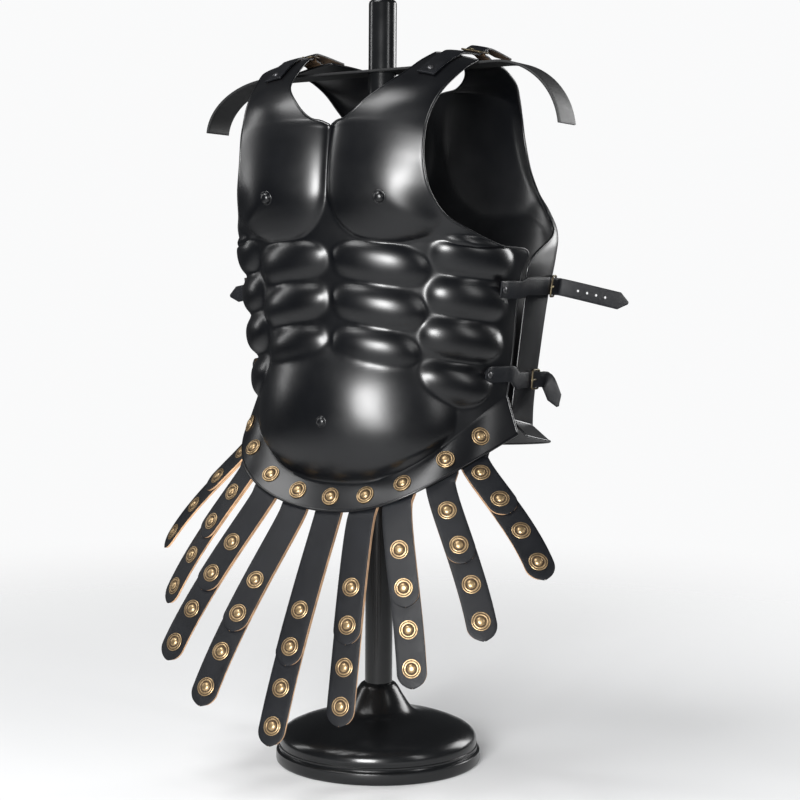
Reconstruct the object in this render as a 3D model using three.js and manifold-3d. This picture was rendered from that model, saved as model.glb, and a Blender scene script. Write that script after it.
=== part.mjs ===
// Steel muscle cuirass (breastplate and backplate) with leather straps, a skirt of studded
// leather strips, and the plain stand that carries it.
// Millimetres, +Z up, front towards -Y, the wearer's left towards +X.
// The origin is the centre of the stand's flat foot.
import * as THREE from 'three';
import { mergeVertices } from 'three/addons/utils/BufferGeometryUtils.js';
import Module from 'manifold-3d';

const manifold = await Module();
manifold.setup();

// ---------------------------------------------------------------- driving sizes
const GAP = 0.3;
const STEEL = 1.6;
const ROLLED_RIM = 3.2;
const LEATHER = 2.2;

const BASE_RADIUS = 127;
const POLE_RADIUS = 17;
const POLE_SIDES = 18;
const POLE_TOP = 935;
const SOCKET_FLOOR = 60;
const BASE_TOP = 97;

const BAR_WIDTH = 48;
const BAR_THICKNESS = 3;
const BAR_HEIGHT = 848;
const BAR_TILT = 1.6;
// The two ends were bent by hand: level run | reach of the bend | drop of the bend
const BAR_ENDS = { left: [140, 102, 68], right: [160, 82, 83] };
const BAR_BORE = POLE_RADIUS + GAP;

const STRIP_WIDTH = 35;
const ROSETTE = { radius: 11, height: 3, root: 0.9, sides: 6 };
const FLANGE_ROSETTE = { radius: 11, height: 3.2, root: 0, sides: 8 };
const RIVET = { radius: 4, height: 1.6, root: 0.6, sides: 6 };
const ROSETTE_STANDOFF = 1.3;
const RIVET_SINK = 0.2;

// ---------------------------------------------------------------- materials
function material(color, roughness, metalness) {
  return new THREE.MeshStandardMaterial({ color, roughness, metalness, side: THREE.DoubleSide });
}
const blackSteel = () => material(0x15171a, 0.34, 0.55);
const blackLeather = () => material(0x1a1c20, 0.55, 0);
const standEnamel = () => material(0x0c0d0e, 0.22, 0.2);
const antiqueBrass = () => material(0x8a6a38, 0.4, 0.9);

const part = new THREE.Group();

function add(name, geometry, surface) {
  const mesh = new THREE.Mesh(geometry, surface);
  mesh.name = name;
  part.add(mesh);
  return mesh;
}

// ---------------------------------------------------------------- small tools
const lerp = (a, b, t) => a + (b - a) * t;
const clamp = (x, low, high) => Math.min(high, Math.max(low, x));
const smoothStep = (low, high, x) => {
  const t = clamp((x - low) / (high - low), 0, 1);
  return t * t * (3 - 2 * t);
};
const vec = (x, y, z) => new THREE.Vector3(x, y, z);

// A value of every numeric column at a fractional row of a table (Catmull-Rom between rows).
function tableRow(table, position) {
  const last = table.length - 1;
  const i = clamp(Math.floor(position), 0, last - 1);
  const t = position - i;
  const rows = [i - 1, i, i + 1, i + 2].map((k) => table[clamp(k, 0, last)]);
  return rows[1].map((_, c) => {
    const [a, b, d, e] = rows.map((row) => row[c]);
    const curve = 2 * b + (d - a) * t + (2 * a - 5 * b + 4 * d - e) * t * t;
    return 0.5 * (curve + (3 * b - a - 3 * d + e) * t * t * t);
  });
}

// Points at the given fractions of a polyline's length.
function alongPolyline(points, fractions) {
  const lengths = [0];
  for (let i = 1; i < points.length; i += 1) {
    lengths.push(lengths[i - 1] + points[i].distanceTo(points[i - 1]));
  }
  const total = lengths[lengths.length - 1];
  return fractions.map((f) => {
    const target = f * total;
    let i = 1;
    while (i < points.length - 1 && lengths[i] < target) i += 1;
    const t = (target - lengths[i - 1]) / (lengths[i] - lengths[i - 1]);
    return points[i - 1].clone().lerp(points[i], clamp(t, 0, 1));
  });
}

// ---------------------------------------------------------------- sheets
// A sheet is an open surface: points and triangles, with shared corners merged.
class Sheet {
  constructor() {
    this.points = [];
    this.thickness = [];
    this.triangles = [];
    this.lookup = new Map();
  }

  point(p, thickness) {
    const key = [p.x, p.y, p.z].map((c) => Math.round(c * 1000)).join(',');
    if (!this.lookup.has(key)) {
      this.lookup.set(key, this.points.length);
      this.points.push(p.clone());
      this.thickness.push(thickness);
    }
    return this.lookup.get(key);
  }

  // rows: equal-length arrays of points; flip turns the facing round.
  grid(rows, thicknessAt, flip = false) {
    const ids = rows.map((row, j) => row.map((p, i) => this.point(p, thicknessAt(j, i))));
    for (let j = 0; j + 1 < rows.length; j += 1) {
      for (let i = 0; i + 1 < rows[j].length; i += 1) {
        const [a, b, c, d] = [ids[j][i], ids[j][i + 1], ids[j + 1][i + 1], ids[j + 1][i]];
        for (const tri of [[a, b, c], [a, c, d]]) {
          if (new Set(tri).size === 3) this.triangles.push(flip ? [...tri].reverse() : tri);
        }
      }
    }
  }

  normals() {
    const sums = this.points.map(() => vec(0, 0, 0));
    for (const [a, b, c] of this.triangles) {
      const [p, q, r] = [this.points[a], this.points[b], this.points[c]];
      const face = q.clone().sub(p).cross(r.clone().sub(p));
      for (const i of [a, b, c]) sums[i].add(face);
    }
    return sums.map((n) => n.normalize());
  }

  // The closed solid: half the thickness to each side, with walls round every open edge.
  solid() {
    const normals = this.normals();
    const count = this.points.length;
    const positions = [];
    for (const side of [0.5, -0.5]) {
      this.points.forEach((p, i) => {
        const q = p.clone().addScaledVector(normals[i], side * this.thickness[i]);
        positions.push(q.x, q.y, q.z);
      });
    }
    const index = [];
    const open = new Map();
    for (const tri of this.triangles) {
      index.push(...tri);
      index.push(tri[2] + count, tri[1] + count, tri[0] + count);
      for (let k = 0; k < 3; k += 1) {
        const [a, b] = [tri[k], tri[(k + 1) % 3]];
        if (!open.delete(`${b},${a}`)) open.set(`${a},${b}`, [a, b]);
      }
    }
    for (const [a, b] of open.values()) {
      index.push(a, a + count, b + count, a, b + count, b);
    }
    const geometry = new THREE.BufferGeometry();
    geometry.setAttribute('position', new THREE.Float32BufferAttribute(positions, 3));
    geometry.setIndex(index);
    return geometry;
  }
}

// ---------------------------------------------------------------- joins and cuts
function toManifold(geometry) {
  const plain = geometry.clone();
  for (const name of ['normal', 'uv']) {
    if (plain.getAttribute(name)) plain.deleteAttribute(name);
  }
  const merged = mergeVertices(plain, 1e-4);
  return new manifold.Manifold(new manifold.Mesh({
    numProp: 3,
    vertProperties: new Float32Array(merged.getAttribute('position').array),
    triVerts: new Uint32Array(merged.getIndex().array),
  }));
}

function fromManifold(solid) {
  const mesh = solid.getMesh();
  const geometry = new THREE.BufferGeometry();
  geometry.setAttribute('position', new THREE.BufferAttribute(mesh.vertProperties, 3));
  geometry.setIndex(new THREE.BufferAttribute(mesh.triVerts, 1));
  return geometry;
}

const join = (first, ...others) => fromManifold(
  others.reduce((body, other) => body.add(toManifold(other)), toManifold(first)),
);
const cut = (first, ...tools) => fromManifold(
  tools.reduce((body, tool) => body.subtract(toManifold(tool)), toManifold(first)),
);

// Turns a geometry made along +Z to face a direction, then moves it to a place.
function placed(geometry, place, direction) {
  const turn = new THREE.Quaternion().setFromUnitVectors(vec(0, 0, 1), direction.clone().normalize());
  return geometry.clone().applyQuaternion(turn).translate(place.x, place.y, place.z);
}

// A geometry made in a strap's own axes: +X along, +Y across, +Z off the surface.
function inFrame(geometry, origin, along, off) {
  const across = off.clone().cross(along).normalize();
  const upright = along.clone().cross(across).normalize();
  const matrix = new THREE.Matrix4().makeBasis(along.clone().normalize(), across, upright);
  matrix.setPosition(origin);
  return geometry.clone().applyMatrix4(matrix);
}

// A low round stud: a wide rim, a step and a small dome, turned from one profile.
function stud({ radius, height, root, sides }) {
  const profile = [
    [0, -root], [radius, -root], [radius, height * 0.4], [radius * 0.5, height * 0.7], [0, height],
  ];
  const points = profile.map(([r, z]) => new THREE.Vector2(r, z));
  return new THREE.LatheGeometry(points, sides).rotateX(Math.PI / 2);
}

// ---------------------------------------------------------------- stand
const BASE_PROFILE = [
  [0, 0], [BASE_RADIUS - 2, 0], [BASE_RADIUS, 3], [BASE_RADIUS, 8], [BASE_RADIUS - 4, 11],
  [BASE_RADIUS - 5, 24], [BASE_RADIUS - 8, 32], [BASE_RADIUS - 22, 42], [90, 49], [62, 55],
  [46, 61], [34, 76], [24, 91], [19, BASE_TOP], [BAR_BORE, BASE_TOP], [BAR_BORE, SOCKET_FLOOR],
  [0, SOCKET_FLOOR],
];

function standBase() {
  const points = BASE_PROFILE.map(([r, z]) => new THREE.Vector2(r, z));
  return new THREE.LatheGeometry(points, POLE_SIDES).rotateX(Math.PI / 2);
}

function standPole() {
  const bottom = SOCKET_FLOOR + GAP;
  const points = [
    [0, bottom], [POLE_RADIUS, bottom], [POLE_RADIUS, POLE_TOP - 6],
    [POLE_RADIUS - 3, POLE_TOP - 2], [0, POLE_TOP],
  ].map(([r, z]) => new THREE.Vector2(r, z));
  return new THREE.LatheGeometry(points, POLE_SIDES).rotateX(Math.PI / 2);
}

// The crossbar is one flat strip: straight in the middle, its ends bent down in quarter ovals.
function barEnd([straight, reach, drop]) {
  const points = [[40, 0], [straight, 0]];
  for (let step = 1; step <= 8; step += 1) {
    const angle = THREE.MathUtils.degToRad(85 * step / 8);
    points.push([straight + reach * Math.sin(angle), -drop * (1 - Math.cos(angle))]);
  }
  return points;
}

function standCrossbar() {
  const line = [
    ...barEnd(BAR_ENDS.left).reverse().map(([x, z]) => vec(-x, 0, z)),
    ...barEnd(BAR_ENDS.right).map(([x, z]) => vec(x, 0, z)),
  ];
  const sheet = new Sheet();
  const rows = line.map((p) => [-0.5, 0.5].map((side) => vec(p.x, side * BAR_WIDTH, p.z)));
  sheet.grid(rows, () => BAR_THICKNESS);
  const bar = sheet.solid().rotateY(THREE.MathUtils.degToRad(-BAR_TILT)).translate(0, 0, BAR_HEIGHT);
  const bore = new THREE.CylinderGeometry(BAR_BORE, BAR_BORE, 4 * BAR_THICKNESS, POLE_SIDES);
  return cut(bar, bore.rotateX(Math.PI / 2).translate(0, 0, BAR_HEIGHT));
}

// ---------------------------------------------------------------- plate sections
// Each row is one section of half a plate, from the centre line or neckline to the outer edge.
// inner x, y, z | outer x, y, z | square: corner fullness | cut: share of the quarter oval used
// | fall: how late the height moves from the inner to the outer value.
const FRONT_SECTIONS = [
  [0, -110.8, 357, 171, 0, 461, 2.2, 0.96, 2.4],
  [0, -113, 398, 171.5, 4, 474, 2.0, 0.98, 2.4],
  [0, -116, 440, 172, 7, 487, 1.85, 0.985, 2.3],
  [0, -119, 480, 173, 8, 501, 1.85, 0.985, 2.2],
  [0, -122, 526, 175.5, 8, 528, 1.9, 0.99, 2],
  [0, -122, 573, 178.5, 8, 566, 2, 0.99, 2],
  [0, -123, 617, 184.5, 9, 605, 2, 0.99, 2],
  [0, -127, 643, 190, 12, 632, 2.1, 0.99, 2],
  [0, -129, 662, 177, -36, 638.5, 2.1, 0.97, 2],
  [0, -131, 682, 157.5, -76, 655, 2.3, 0.92, 2],
  [0, -132, 700, 139.5, -103, 672, 2.5, 0.88, 2],
  [0, -131, 722, 128.5, -122, 700, 2.5, 0.85, 2],
  [0, -128, 748, 123, -126.5, 733, 2.4, 0.8, 2],
  [0, -123, 774, 122.5, -124, 764, 2.4, 0.8, 2],
  [22, -121, 780, 123.5, -117, 783, 2.2, 0.8, 1.2],
  [46, -115.5, 798, 126, -107, 800, 2.2, 0.8, 1.2],
  [65, -103.5, 817, 129.5, -92, 816, 2.2, 0.8, 1.2],
  [74, -84, 834, 134, -72, 831, 2, 0.8, 1.2],
  [81, -56, 852, 139.5, -50, 845, 2, 0.8, 1.4],
  [87, -28, 864.5, 142, -28, 853, 2, 0.8, 1.4],
];
const FRONT_NOTCH = 13;

// inner x, y, z | outer x, y, z | square | widest x, y | fall
const BACK_SECTIONS = [
  [0, 126, 404, 170.5, 14, 432, 2.6, 172, 60, 2],
  [0, 126, 440, 171.5, 17, 455, 2.6, 173, 60, 2],
  [0, 128, 495, 174.7, 22, 499, 2.6, 178, 62, 2],
  [0, 138, 573, 182.5, 24, 573, 2.6, 187, 64, 2],
  [0, 148, 628, 189.5, 22, 620, 2.6, 194, 70, 2],
  [0, 152, 662, 193.5, 79, 652, 2.6, 193.5, 79, 2],
  [0, 154, 690, 174, 105, 680, 2.6, 174, 105, 2],
  [0, 155, 715, 153, 125, 704, 2.4, 153, 125, 2],
  [0, 155, 745, 137, 135, 735, 2.4, 137, 135, 2],
  [0, 153, 785, 128, 137, 772, 2.4, 128, 137, 2],
  [0, 147, 828, 127, 130, 800, 2.4, 127, 130, 2],
  [30, 142, 838, 131, 113, 818, 2.2, 131, 113, 1.3],
  [54, 118, 850, 136, 92, 836, 2, 136, 92, 1.3],
  [73, 76, 860, 138.5, 58, 849, 2, 138.5, 58, 1.4],
  [87, 28, 864.5, 142, 28, 853, 2, 142, 28, 1.4],
];
const BACK_NOTCH = 10;

// One section as a polyline: a quarter of a superellipse, or the part of one that the cut leaves.
function frontSection(row, steps = 40) {
  const [xInner, yi, zi, xo, yo, zo, square, share, fall] = row;
  const xi = Math.max(0, xInner);
  const sag = (s) => 1 - (1 - (share * s) ** square) ** (1 / square);
  const points = [];
  for (let k = 0; k <= steps; k += 1) {
    const s = Math.sin((k / steps) * Math.PI / 2);
    points.push(vec(lerp(xi, xo, s), lerp(yi, yo, sag(s) / sag(1)), lerp(zi, zo, s ** fall)));
  }
  return points;
}

// The back's sections swell behind the side seam: from the seam to the widest place, then round.
function backSection(row, steps = 40) {
  const [xInner, yi, zi, xo, yo, zo, square, xWide, yWide, fall] = row;
  const xi = Math.max(0, xInner);
  const points = [];
  for (let k = 0; k <= steps; k += 1) {
    const angle = (k / steps) * Math.PI / 2;
    const s = Math.sin(angle) ** (2 / square);
    const c = Math.cos(angle) ** (2 / square);
    points.push(vec(lerp(xi, xWide, s), lerp(yWide, yi, c), 0));
  }
  const run = Math.hypot(xWide - xo, yWide - yo);
  for (let k = 1; k <= 8 && run > 1; k += 1) {
    const t = k / 8;
    points.push(vec(lerp(xWide, xo, t * t), lerp(yWide, yo, t), 0));
  }
  let total = 0;
  const travelled = points.map((p, i) => {
    if (i > 0) total += p.distanceTo(points[i - 1]);
    return total;
  });
  points.forEach((p, i) => p.setZ(lerp(zi, zo, (travelled[i] / total) ** fall)));
  return points;
}

// ---------------------------------------------------------------- raised muscles
// Places are measured on the steel from the centre line.
// name | along | height | half length inwards | outwards | its growth with height | half height
// up | down | tilt in degrees, outer end down | raise | fullness | softness of the edge
const FRONT_MUSCLES = [
  ['pectoral', 73, 712, 71.5, 80, 75, 190, 71, 0, 14, 2.3, 0.58],
  ['abdominal_1', 61, 617, 58, 58, 0, 24.6, 24.6, 6, 11, 2.7, 0.6],
  ['abdominal_2', 59, 568, 56, 56, 0, 24.6, 24.6, 8, 11, 2.7, 0.6],
  ['abdominal_3', 55, 518, 52, 52, 0, 24.6, 24.6, 8, 11, 2.7, 0.6],
  ['oblique_1', 170, 624, 47, 58, 0, 24.5, 24.5, 4, 11, 2.5, 0.62],
  ['oblique_2', 164, 577, 48, 58, 0, 24.5, 24.5, 6, 11.5, 2.5, 0.62],
  ['oblique_3', 156, 529, 48, 58, 0, 24.5, 24.5, 7, 11.5, 2.5, 0.62],
  ['oblique_4', 145, 477, 46, 58, 0, 24, 24, 8, 11.5, 2.5, 0.62],
  ['belly', 0, 428, 158, 158, 0, 96, 70, 0, 27, 2.1, 0.95],
];
const BACK_MUSCLES = [
  ['shoulder_blade', 80, 758, 74, 74, 0, 90, 84, 10, 7, 2.2, 0.9],
  ['side_muscle', 108, 620, 70, 70, 0, 62, 62, 0, 5, 2.2, 0.8],
  ['loin', 46, 520, 40, 40, 0, 70, 70, 0, 6, 2.4, 0.8],
];
// Over these heights beside its middle a muscle reaches its full growth outwards.
const GROWTH_BAND = [-30, 40];

function raised(muscles, along, height) {
  let total = 0;
  for (const muscle of muscles) {
    const [, centre, middle, inward, outward, growth, up, down, tilt, raise, fullness] = muscle;
    const softness = muscle[muscle.length - 1];
    const dx = along - centre;
    const dz = height - middle + dx * Math.tan(THREE.MathUtils.degToRad(tilt));
    const length = dx > 0 ? outward + growth * smoothStep(...GROWTH_BAND, dz) : inward;
    const high = dz > 0 ? up : down;
    const d = Math.abs(dx / length) ** fullness + Math.abs(dz / high) ** fullness;
    if (d < 1) total = Math.max(total, raise * (1 - d) ** softness);
  }
  return total;
}

// ---------------------------------------------------------------- flange under the breastplate
const FLANGE_RIM = { reach: 187, y: [-128, -3.1, 11.1], z: [326, 21.9, 1.1] };

function flangeRim(x) {
  const q = (x / 100) ** 2;
  const [y0, y1, y2] = FLANGE_RIM.y;
  const [z0, z1, z2] = FLANGE_RIM.z;
  return vec(x, y0 + y1 * q + y2 * q * q, z0 + z1 * q + z2 * q * q);
}

const FLANGE_ROOT_LINE = frontSection(FRONT_SECTIONS[0]);
const FLANGE_RIM_LINE = FLANGE_ROOT_LINE.map((p) => flangeRim(p.x * FLANGE_RIM.reach / FRONT_SECTIONS[0][3]));

// A place on the flange: x across, share 0 at the root and 1 at the rim.
function onFlange(x, share) {
  const line = FLANGE_ROOT_LINE.map((p, i) => p.clone().lerp(FLANGE_RIM_LINE[i], share));
  const reach = Math.abs(x);
  let i = 1;
  while (i < line.length - 1 && line[i].x < reach) i += 1;
  const t = (reach - line[i - 1].x) / (line[i].x - line[i - 1].x);
  const p = line[i - 1].clone().lerp(line[i], t);
  if (x < 0) p.x *= -1;
  return p;
}

function flangeFrame(x) {
  const middle = onFlange(x, 0.5);
  const down = onFlange(x, 1).sub(onFlange(x, 0)).normalize();
  const across = onFlange(x + 2, 0.5).sub(onFlange(x - 2, 0.5)).normalize();
  const off = across.clone().cross(down).negate().normalize();
  if (off.y > 0) off.negate();
  return { middle, down, across, off };
}

// ---------------------------------------------------------------- plates
const EDGE_BAND = 5;
const FRONT_COLUMNS = 10;
const BACK_COLUMNS = 8;
const BACK_FLARE = 22;
const FLARE_DROP = 0.85;
const FLANGE_RIM_LENGTH = 235;
// The muscles die away over these widths: beside the side seam, beside the armhole, beside the
// backplate's edge, and above the root of the flange or flare
const SEAM_FADE = 34;
const ARMHOLE_FADE = 68;
const BACK_FADE = 30;
const ROOT_FADE = 12;
// and over these rows of the front sections, towards the shoulders
const SHOULDER_FADE = [14, 18];

// Column fractions: even steps, with one narrow band along the outer edge for the rolled rim.
function columnFractions(count, width) {
  const list = [];
  const inside = 1 - EDGE_BAND / width;
  for (let i = 0; i < count; i += 1) list.push(inside * i / (count - 1));
  list.push(1);
  return list;
}

function plateHalf(sections, sectionOf, positions, columns, muscles, fadeAt, shareAt = () => 1) {
  const rows = positions.map((position) => {
    const line = sectionOf(tableRow(sections, position));
    let length = 0;
    for (let i = 1; i < line.length; i += 1) length += line[i].distanceTo(line[i - 1]);
    const fractions = columnFractions(columns, length);
    const points = alongPolyline(line, fractions);
    return { position, length, fractions, points, offset: line[0].x };
  });
  return rows.map(({ position, length, fractions, points, offset }) => {
    const reliefs = points.map((p, i) => {
      const edge = (1 - fractions[i]) * length;
      const fade = shareAt(position) * smoothStep(2, fadeAt(position), edge)
        * smoothStep(0, ROOT_FADE, p.z - rows[0].points[i].z);
      return raised(muscles, fractions[i] * length + offset, p.z) * fade;
    });
    return { points, reliefs };
  });
}

function raiseRows(half) {
  const sheet = new Sheet();
  sheet.grid(half.map((row) => row.points), () => 1);
  const normals = sheet.normals();
  return half.map((row) => row.points.map((p, i) => {
    const n = normals[sheet.point(p, 1)].clone();
    if (Math.abs(p.x) < 1e-6) n.x = 0;
    return p.clone().addScaledVector(n.normalize(), row.reliefs[i]);
  }));
}

function positionsBetween(first, last, count) {
  return Array.from({ length: count + 1 }, (_, k) => lerp(first, last, k / count));
}

function breastplateRows() {
  const positions = [
    ...positionsBetween(0, 3, 5), ...positionsBetween(3, 7, 16).slice(1),
    ...positionsBetween(7, FRONT_NOTCH, 6).slice(1), ...positionsBetween(FRONT_NOTCH, 19, 6).slice(1),
  ];
  const fadeAt = (position) => lerp(SEAM_FADE, ARMHOLE_FADE, smoothStep(7, 9, position));
  const shareAt = (position) => 1 - smoothStep(...SHOULDER_FADE, position);
  const half = plateHalf(
    FRONT_SECTIONS, frontSection, positions, FRONT_COLUMNS, FRONT_MUSCLES, fadeAt, shareAt,
  );
  const body = raiseRows(half);
  const rim = alongPolyline(FLANGE_RIM_LINE, columnFractions(FRONT_COLUMNS, FLANGE_RIM_LENGTH));
  const flange = [1, 0.5].map((share) => body[0].map((p, i) => p.clone().lerp(rim[i], share)));
  return { rows: [...flange, ...body], notchRow: flange.length + positions.indexOf(FRONT_NOTCH) };
}

function backplateRows() {
  const positions = [
    ...positionsBetween(0, BACK_NOTCH, 10), ...positionsBetween(BACK_NOTCH, 14, 5).slice(1),
  ];
  const half = plateHalf(
    BACK_SECTIONS, backSection, positions, BACK_COLUMNS, BACK_MUSCLES, () => BACK_FADE,
  );
  const inward = half.map((row) => ({ points: row.points, reliefs: row.reliefs.map((r) => -r) }));
  const body = raiseRows(inward);
  const flare = body[0].map((p) => {
    const out = vec(p.x, p.y - 40, 0).normalize();
    return p.clone().addScaledVector(out, BACK_FLARE).add(vec(0, 0, -BACK_FLARE * FLARE_DROP));
  });
  return { rows: [flare, ...body], notchRow: 1 + positions.indexOf(BACK_NOTCH) };
}

// Both halves of a plate as one sheet, its free edges thickened into a rolled rim.
function plateSolid({ rows, notchRow }, facing) {
  const sheet = new Sheet();
  const thickness = (j, i) => {
    const edge = i === rows[0].length - 1 || j === 0 || (j >= notchRow && i === 0);
    return edge ? ROLLED_RIM : STEEL;
  };
  sheet.grid(rows, thickness, facing < 0);
  sheet.grid(rows.map((row) => row.map((p) => vec(-p.x, p.y, p.z))), thickness, facing > 0);
  return sheet.solid();
}

const FRONT_PLATE = breastplateRows();
const BACK_PLATE = backplateRows();
// Nipples and navel: across | height | radius | raise
const BOSSES = [[75.6, 692, 8.5, 6], [-75.6, 692, 8.5, 6], [0, 433, 7, 4]];
const BOSS_ROOT = 0.9;
const BOSS_SIDES = 10;

function breastplate() {
  const domes = BOSSES.map(([x, z, radius, height]) => {
    const { place, normal } = surfacePoint(FRONT_PLATE.rows, Math.abs(x), z);
    if (x < 0) {
      place.x *= -1;
      normal.x *= -1;
    }
    return placed(stud({ radius, height, root: BOSS_ROOT, sides: BOSS_SIDES }), place, normal);
  });
  return join(plateSolid(FRONT_PLATE, 1), ...domes);
}

// The place and outward direction of the front plate at a place seen from the front.
function surfacePoint(rows, x, z) {
  const flat = (p) => vec(p.x, 0, p.z);
  for (let j = 1; j < rows.length; j += 1) {
    for (let i = 1; i < rows[j].length; i += 1) {
      const [a, b, c, d] = [rows[j - 1][i - 1], rows[j - 1][i], rows[j][i], rows[j][i - 1]];
      for (const [p, q, r] of [[a, b, c], [a, c, d]]) {
        const share = THREE.Triangle.getBarycoord(vec(x, 0, z), flat(p), flat(q), flat(r), vec(0, 0, 0));
        if (share && Math.min(share.x, share.y, share.z) >= -1e-6) {
          const place = p.clone().multiplyScalar(share.x)
            .addScaledVector(q, share.y).addScaledVector(r, share.z);
          const normal = q.clone().sub(p).cross(r.clone().sub(p)).normalize();
          if (normal.y > 0) normal.negate();
          if (x === 0) normal.setX(0).normalize();
          return { place, normal };
        }
      }
    }
  }
  throw new Error(`no steel at ${x}, ${z}`);
}

// The outline of half a plate at one height, from the centre outwards.
function outlineAt(rows, z) {
  const line = [];
  for (let i = 0; i < rows[0].length; i += 1) {
    for (let j = 1; j < rows.length; j += 1) {
      const [a, b] = [rows[j - 1][i], rows[j][i]];
      if ((a.z - z) * (b.z - z) <= 0 && Math.abs(b.z - a.z) > 1e-6 && j > 2) {
        line.push(a.clone().lerp(b, (z - a.z) / (b.z - a.z)));
        break;
      }
    }
  }
  return line;
}

// ---------------------------------------------------------------- straps and strips
// A flat ribbon along a line of points. Each point has its own across direction and half width.
function ribbon(stations, thickness) {
  const sheet = new Sheet();
  const rows = stations.map(({ place, across, half }) => [-1, 1].map(
    (side) => place.clone().addScaledVector(across, side * half),
  ));
  sheet.grid(rows, () => thickness);
  return sheet.solid();
}

// Half widths near a rounded end, by distance from the tip.
function roundedHalf(distance, half) {
  if (distance >= half) return half;
  const inset = half - distance;
  return Math.max(0.36 * half, Math.sqrt(half * half - inset * inset));
}

// number | across on the flange | bearing: 0 straight ahead, + to the wearer's left | slope
// below level | length from the flange stud to the tip | depth behind the middle of the flange
const STRIPS = [
  [1, -159, -60, 53, 191, 6],
  [2, -132, -50, 59, 216, 5.4],
  [3, -90, -34, 57, 251, 4],
  [4, -46, -18, 57, 278, 4],
  [5, 0, -3, 64, 298, 3.4],
  [6, 46, 10, 69, 267, 4],
  [7, 90, 36, 71, 234, 4],
  [8, 132, 51, 60, 218, 5.4],
  [9, 159, 59, 46, 201, 7.4],
];
const SHORT_STRIP = { end: 92, behind: 0 };
const LONG_STRIP = { end: 0, behind: LEATHER + 0.4 };
const STRIP_STUDS = [22, 66];
const STRIP_TOP = 11;
const STRIP_PAST_RIM = 22;
const STRIP_DROOP = 0.35;
const STRIP_CUTS = [0, 20, 33, 46, 64, 105, 170];
const STRIP_TIP_CUTS = [STRIP_WIDTH / 2, 9, 3, 0];

// The line a strip hangs along, from behind the flange to its tip.
function stripPath([, x, bearing, slope, length, depth]) {
  const { middle, down, off } = flangeFrame(x);
  const b = THREE.MathUtils.degToRad(bearing);
  const s = THREE.MathUtils.degToRad(slope);
  const heading = vec(Math.sin(b) * Math.cos(s), -Math.cos(b) * Math.cos(s), -Math.sin(s));
  const start = middle.clone().addScaledVector(off, -depth);
  const rimEnd = start.clone().addScaledVector(down, STRIP_PAST_RIM);
  const tip = middle.clone().addScaledVector(heading, length).addScaledVector(off, -depth);
  const reach = tip.distanceTo(rimEnd);
  const hanging = heading.clone().add(vec(0, 0, -STRIP_DROOP)).normalize();
  const bend = new THREE.CubicBezierCurve3(
    rimEnd,
    rimEnd.clone().addScaledVector(down, reach * 0.1),
    tip.clone().addScaledVector(hanging, -reach * 0.4),
    tip,
  );
  return [start.clone().addScaledVector(down, -STRIP_TOP), start, ...bend.getPoints(24)];
}

// Place, width direction and outward direction of a strip at a distance along its line.
function stripFrame(line, across, distance, behind) {
  let total = 0;
  for (let i = 1; i < line.length; i += 1) total += line[i].distanceTo(line[i - 1]);
  const [before, place, after] = alongPolyline(
    line,
    [distance - 3, distance, distance + 3].map((d) => clamp(d / total, 0, 1)),
  );
  const ahead = after.sub(before).normalize();
  const width = across.clone().addScaledVector(ahead, -across.dot(ahead)).normalize();
  const off = ahead.clone().cross(width).normalize();
  return { place: place.addScaledVector(off, -behind), across: width, off, total };
}

function strip(row, { end, behind }) {
  const line = stripPath(row);
  const { across } = flangeFrame(row[1]);
  const length = stripFrame(line, across, 0, 0).total - end;
  const half = STRIP_WIDTH / 2;
  const cuts = STRIP_CUTS.filter((d) => d < length - half - 8);
  cuts.push(...STRIP_TIP_CUTS.map((d) => length - d));
  const stations = cuts.map((distance, i) => {
    const width = i === 0 ? 0.7 * half : roundedHalf(length - distance, half);
    return { ...stripFrame(line, across, distance, behind), half: width };
  });
  const chords = stations.map(({ place }) => place);
  const studs = STRIP_STUDS.map((distance) => {
    const { place, off } = stripFrame(chords, across, length - distance, 0);
    return placed(stud(ROSETTE), place.addScaledVector(off, LEATHER / 2), off);
  });
  return join(ribbon(stations, LEATHER), ...studs);
}

// ---------------------------------------------------------------- buckles
const BAR = 2.4;
const FRAME_HEIGHT = 5.2;
const FRAME_HALF = 11;
const FRAME_PLAY = 0.8;
const FRAME_BEVEL = 1.8;
const PRONG = { length: 8, width: 2, depth: 1.6, middle: -7.5, lift: 0.75 };
const LOOP_INNER = 2.05;
const LOOP_OUTER = 3.9;
const LOOP_PLAY = 2;
const TAB_INSET = 0.4;

// A buckle lies in its strap's axes: the heel bar at +X, the prong's tip on the bar at -X.
function buckle(strapWidth) {
  const inside = strapWidth / 2 + FRAME_PLAY;
  const outside = inside + BAR;
  const bevel = FRAME_BEVEL;
  const frame = new THREE.Shape([
    [-FRAME_HALF + bevel, -outside], [FRAME_HALF - bevel, -outside], [FRAME_HALF, -outside + bevel],
    [FRAME_HALF, outside - bevel], [FRAME_HALF - bevel, outside], [-FRAME_HALF + bevel, outside],
    [-FRAME_HALF, outside - bevel], [-FRAME_HALF, -outside + bevel],
  ].map(([x, y]) => new THREE.Vector2(x, y)));
  const reach = FRAME_HALF - BAR;
  frame.holes.push(new THREE.Path([
    [-reach, -inside], [-reach, inside], [reach, inside], [reach, -inside],
  ].map(([x, y]) => new THREE.Vector2(x, y))));
  const ring = new THREE.ExtrudeGeometry(frame, { depth: BAR, bevelEnabled: false });
  ring.translate(0, 0, FRAME_HEIGHT - BAR / 2);
  const prong = new THREE.BoxGeometry(PRONG.length, PRONG.width, PRONG.depth);
  prong.translate(PRONG.middle, 0, FRAME_HEIGHT + BAR / 2 + PRONG.lift);
  return join(ring, prong);
}

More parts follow.
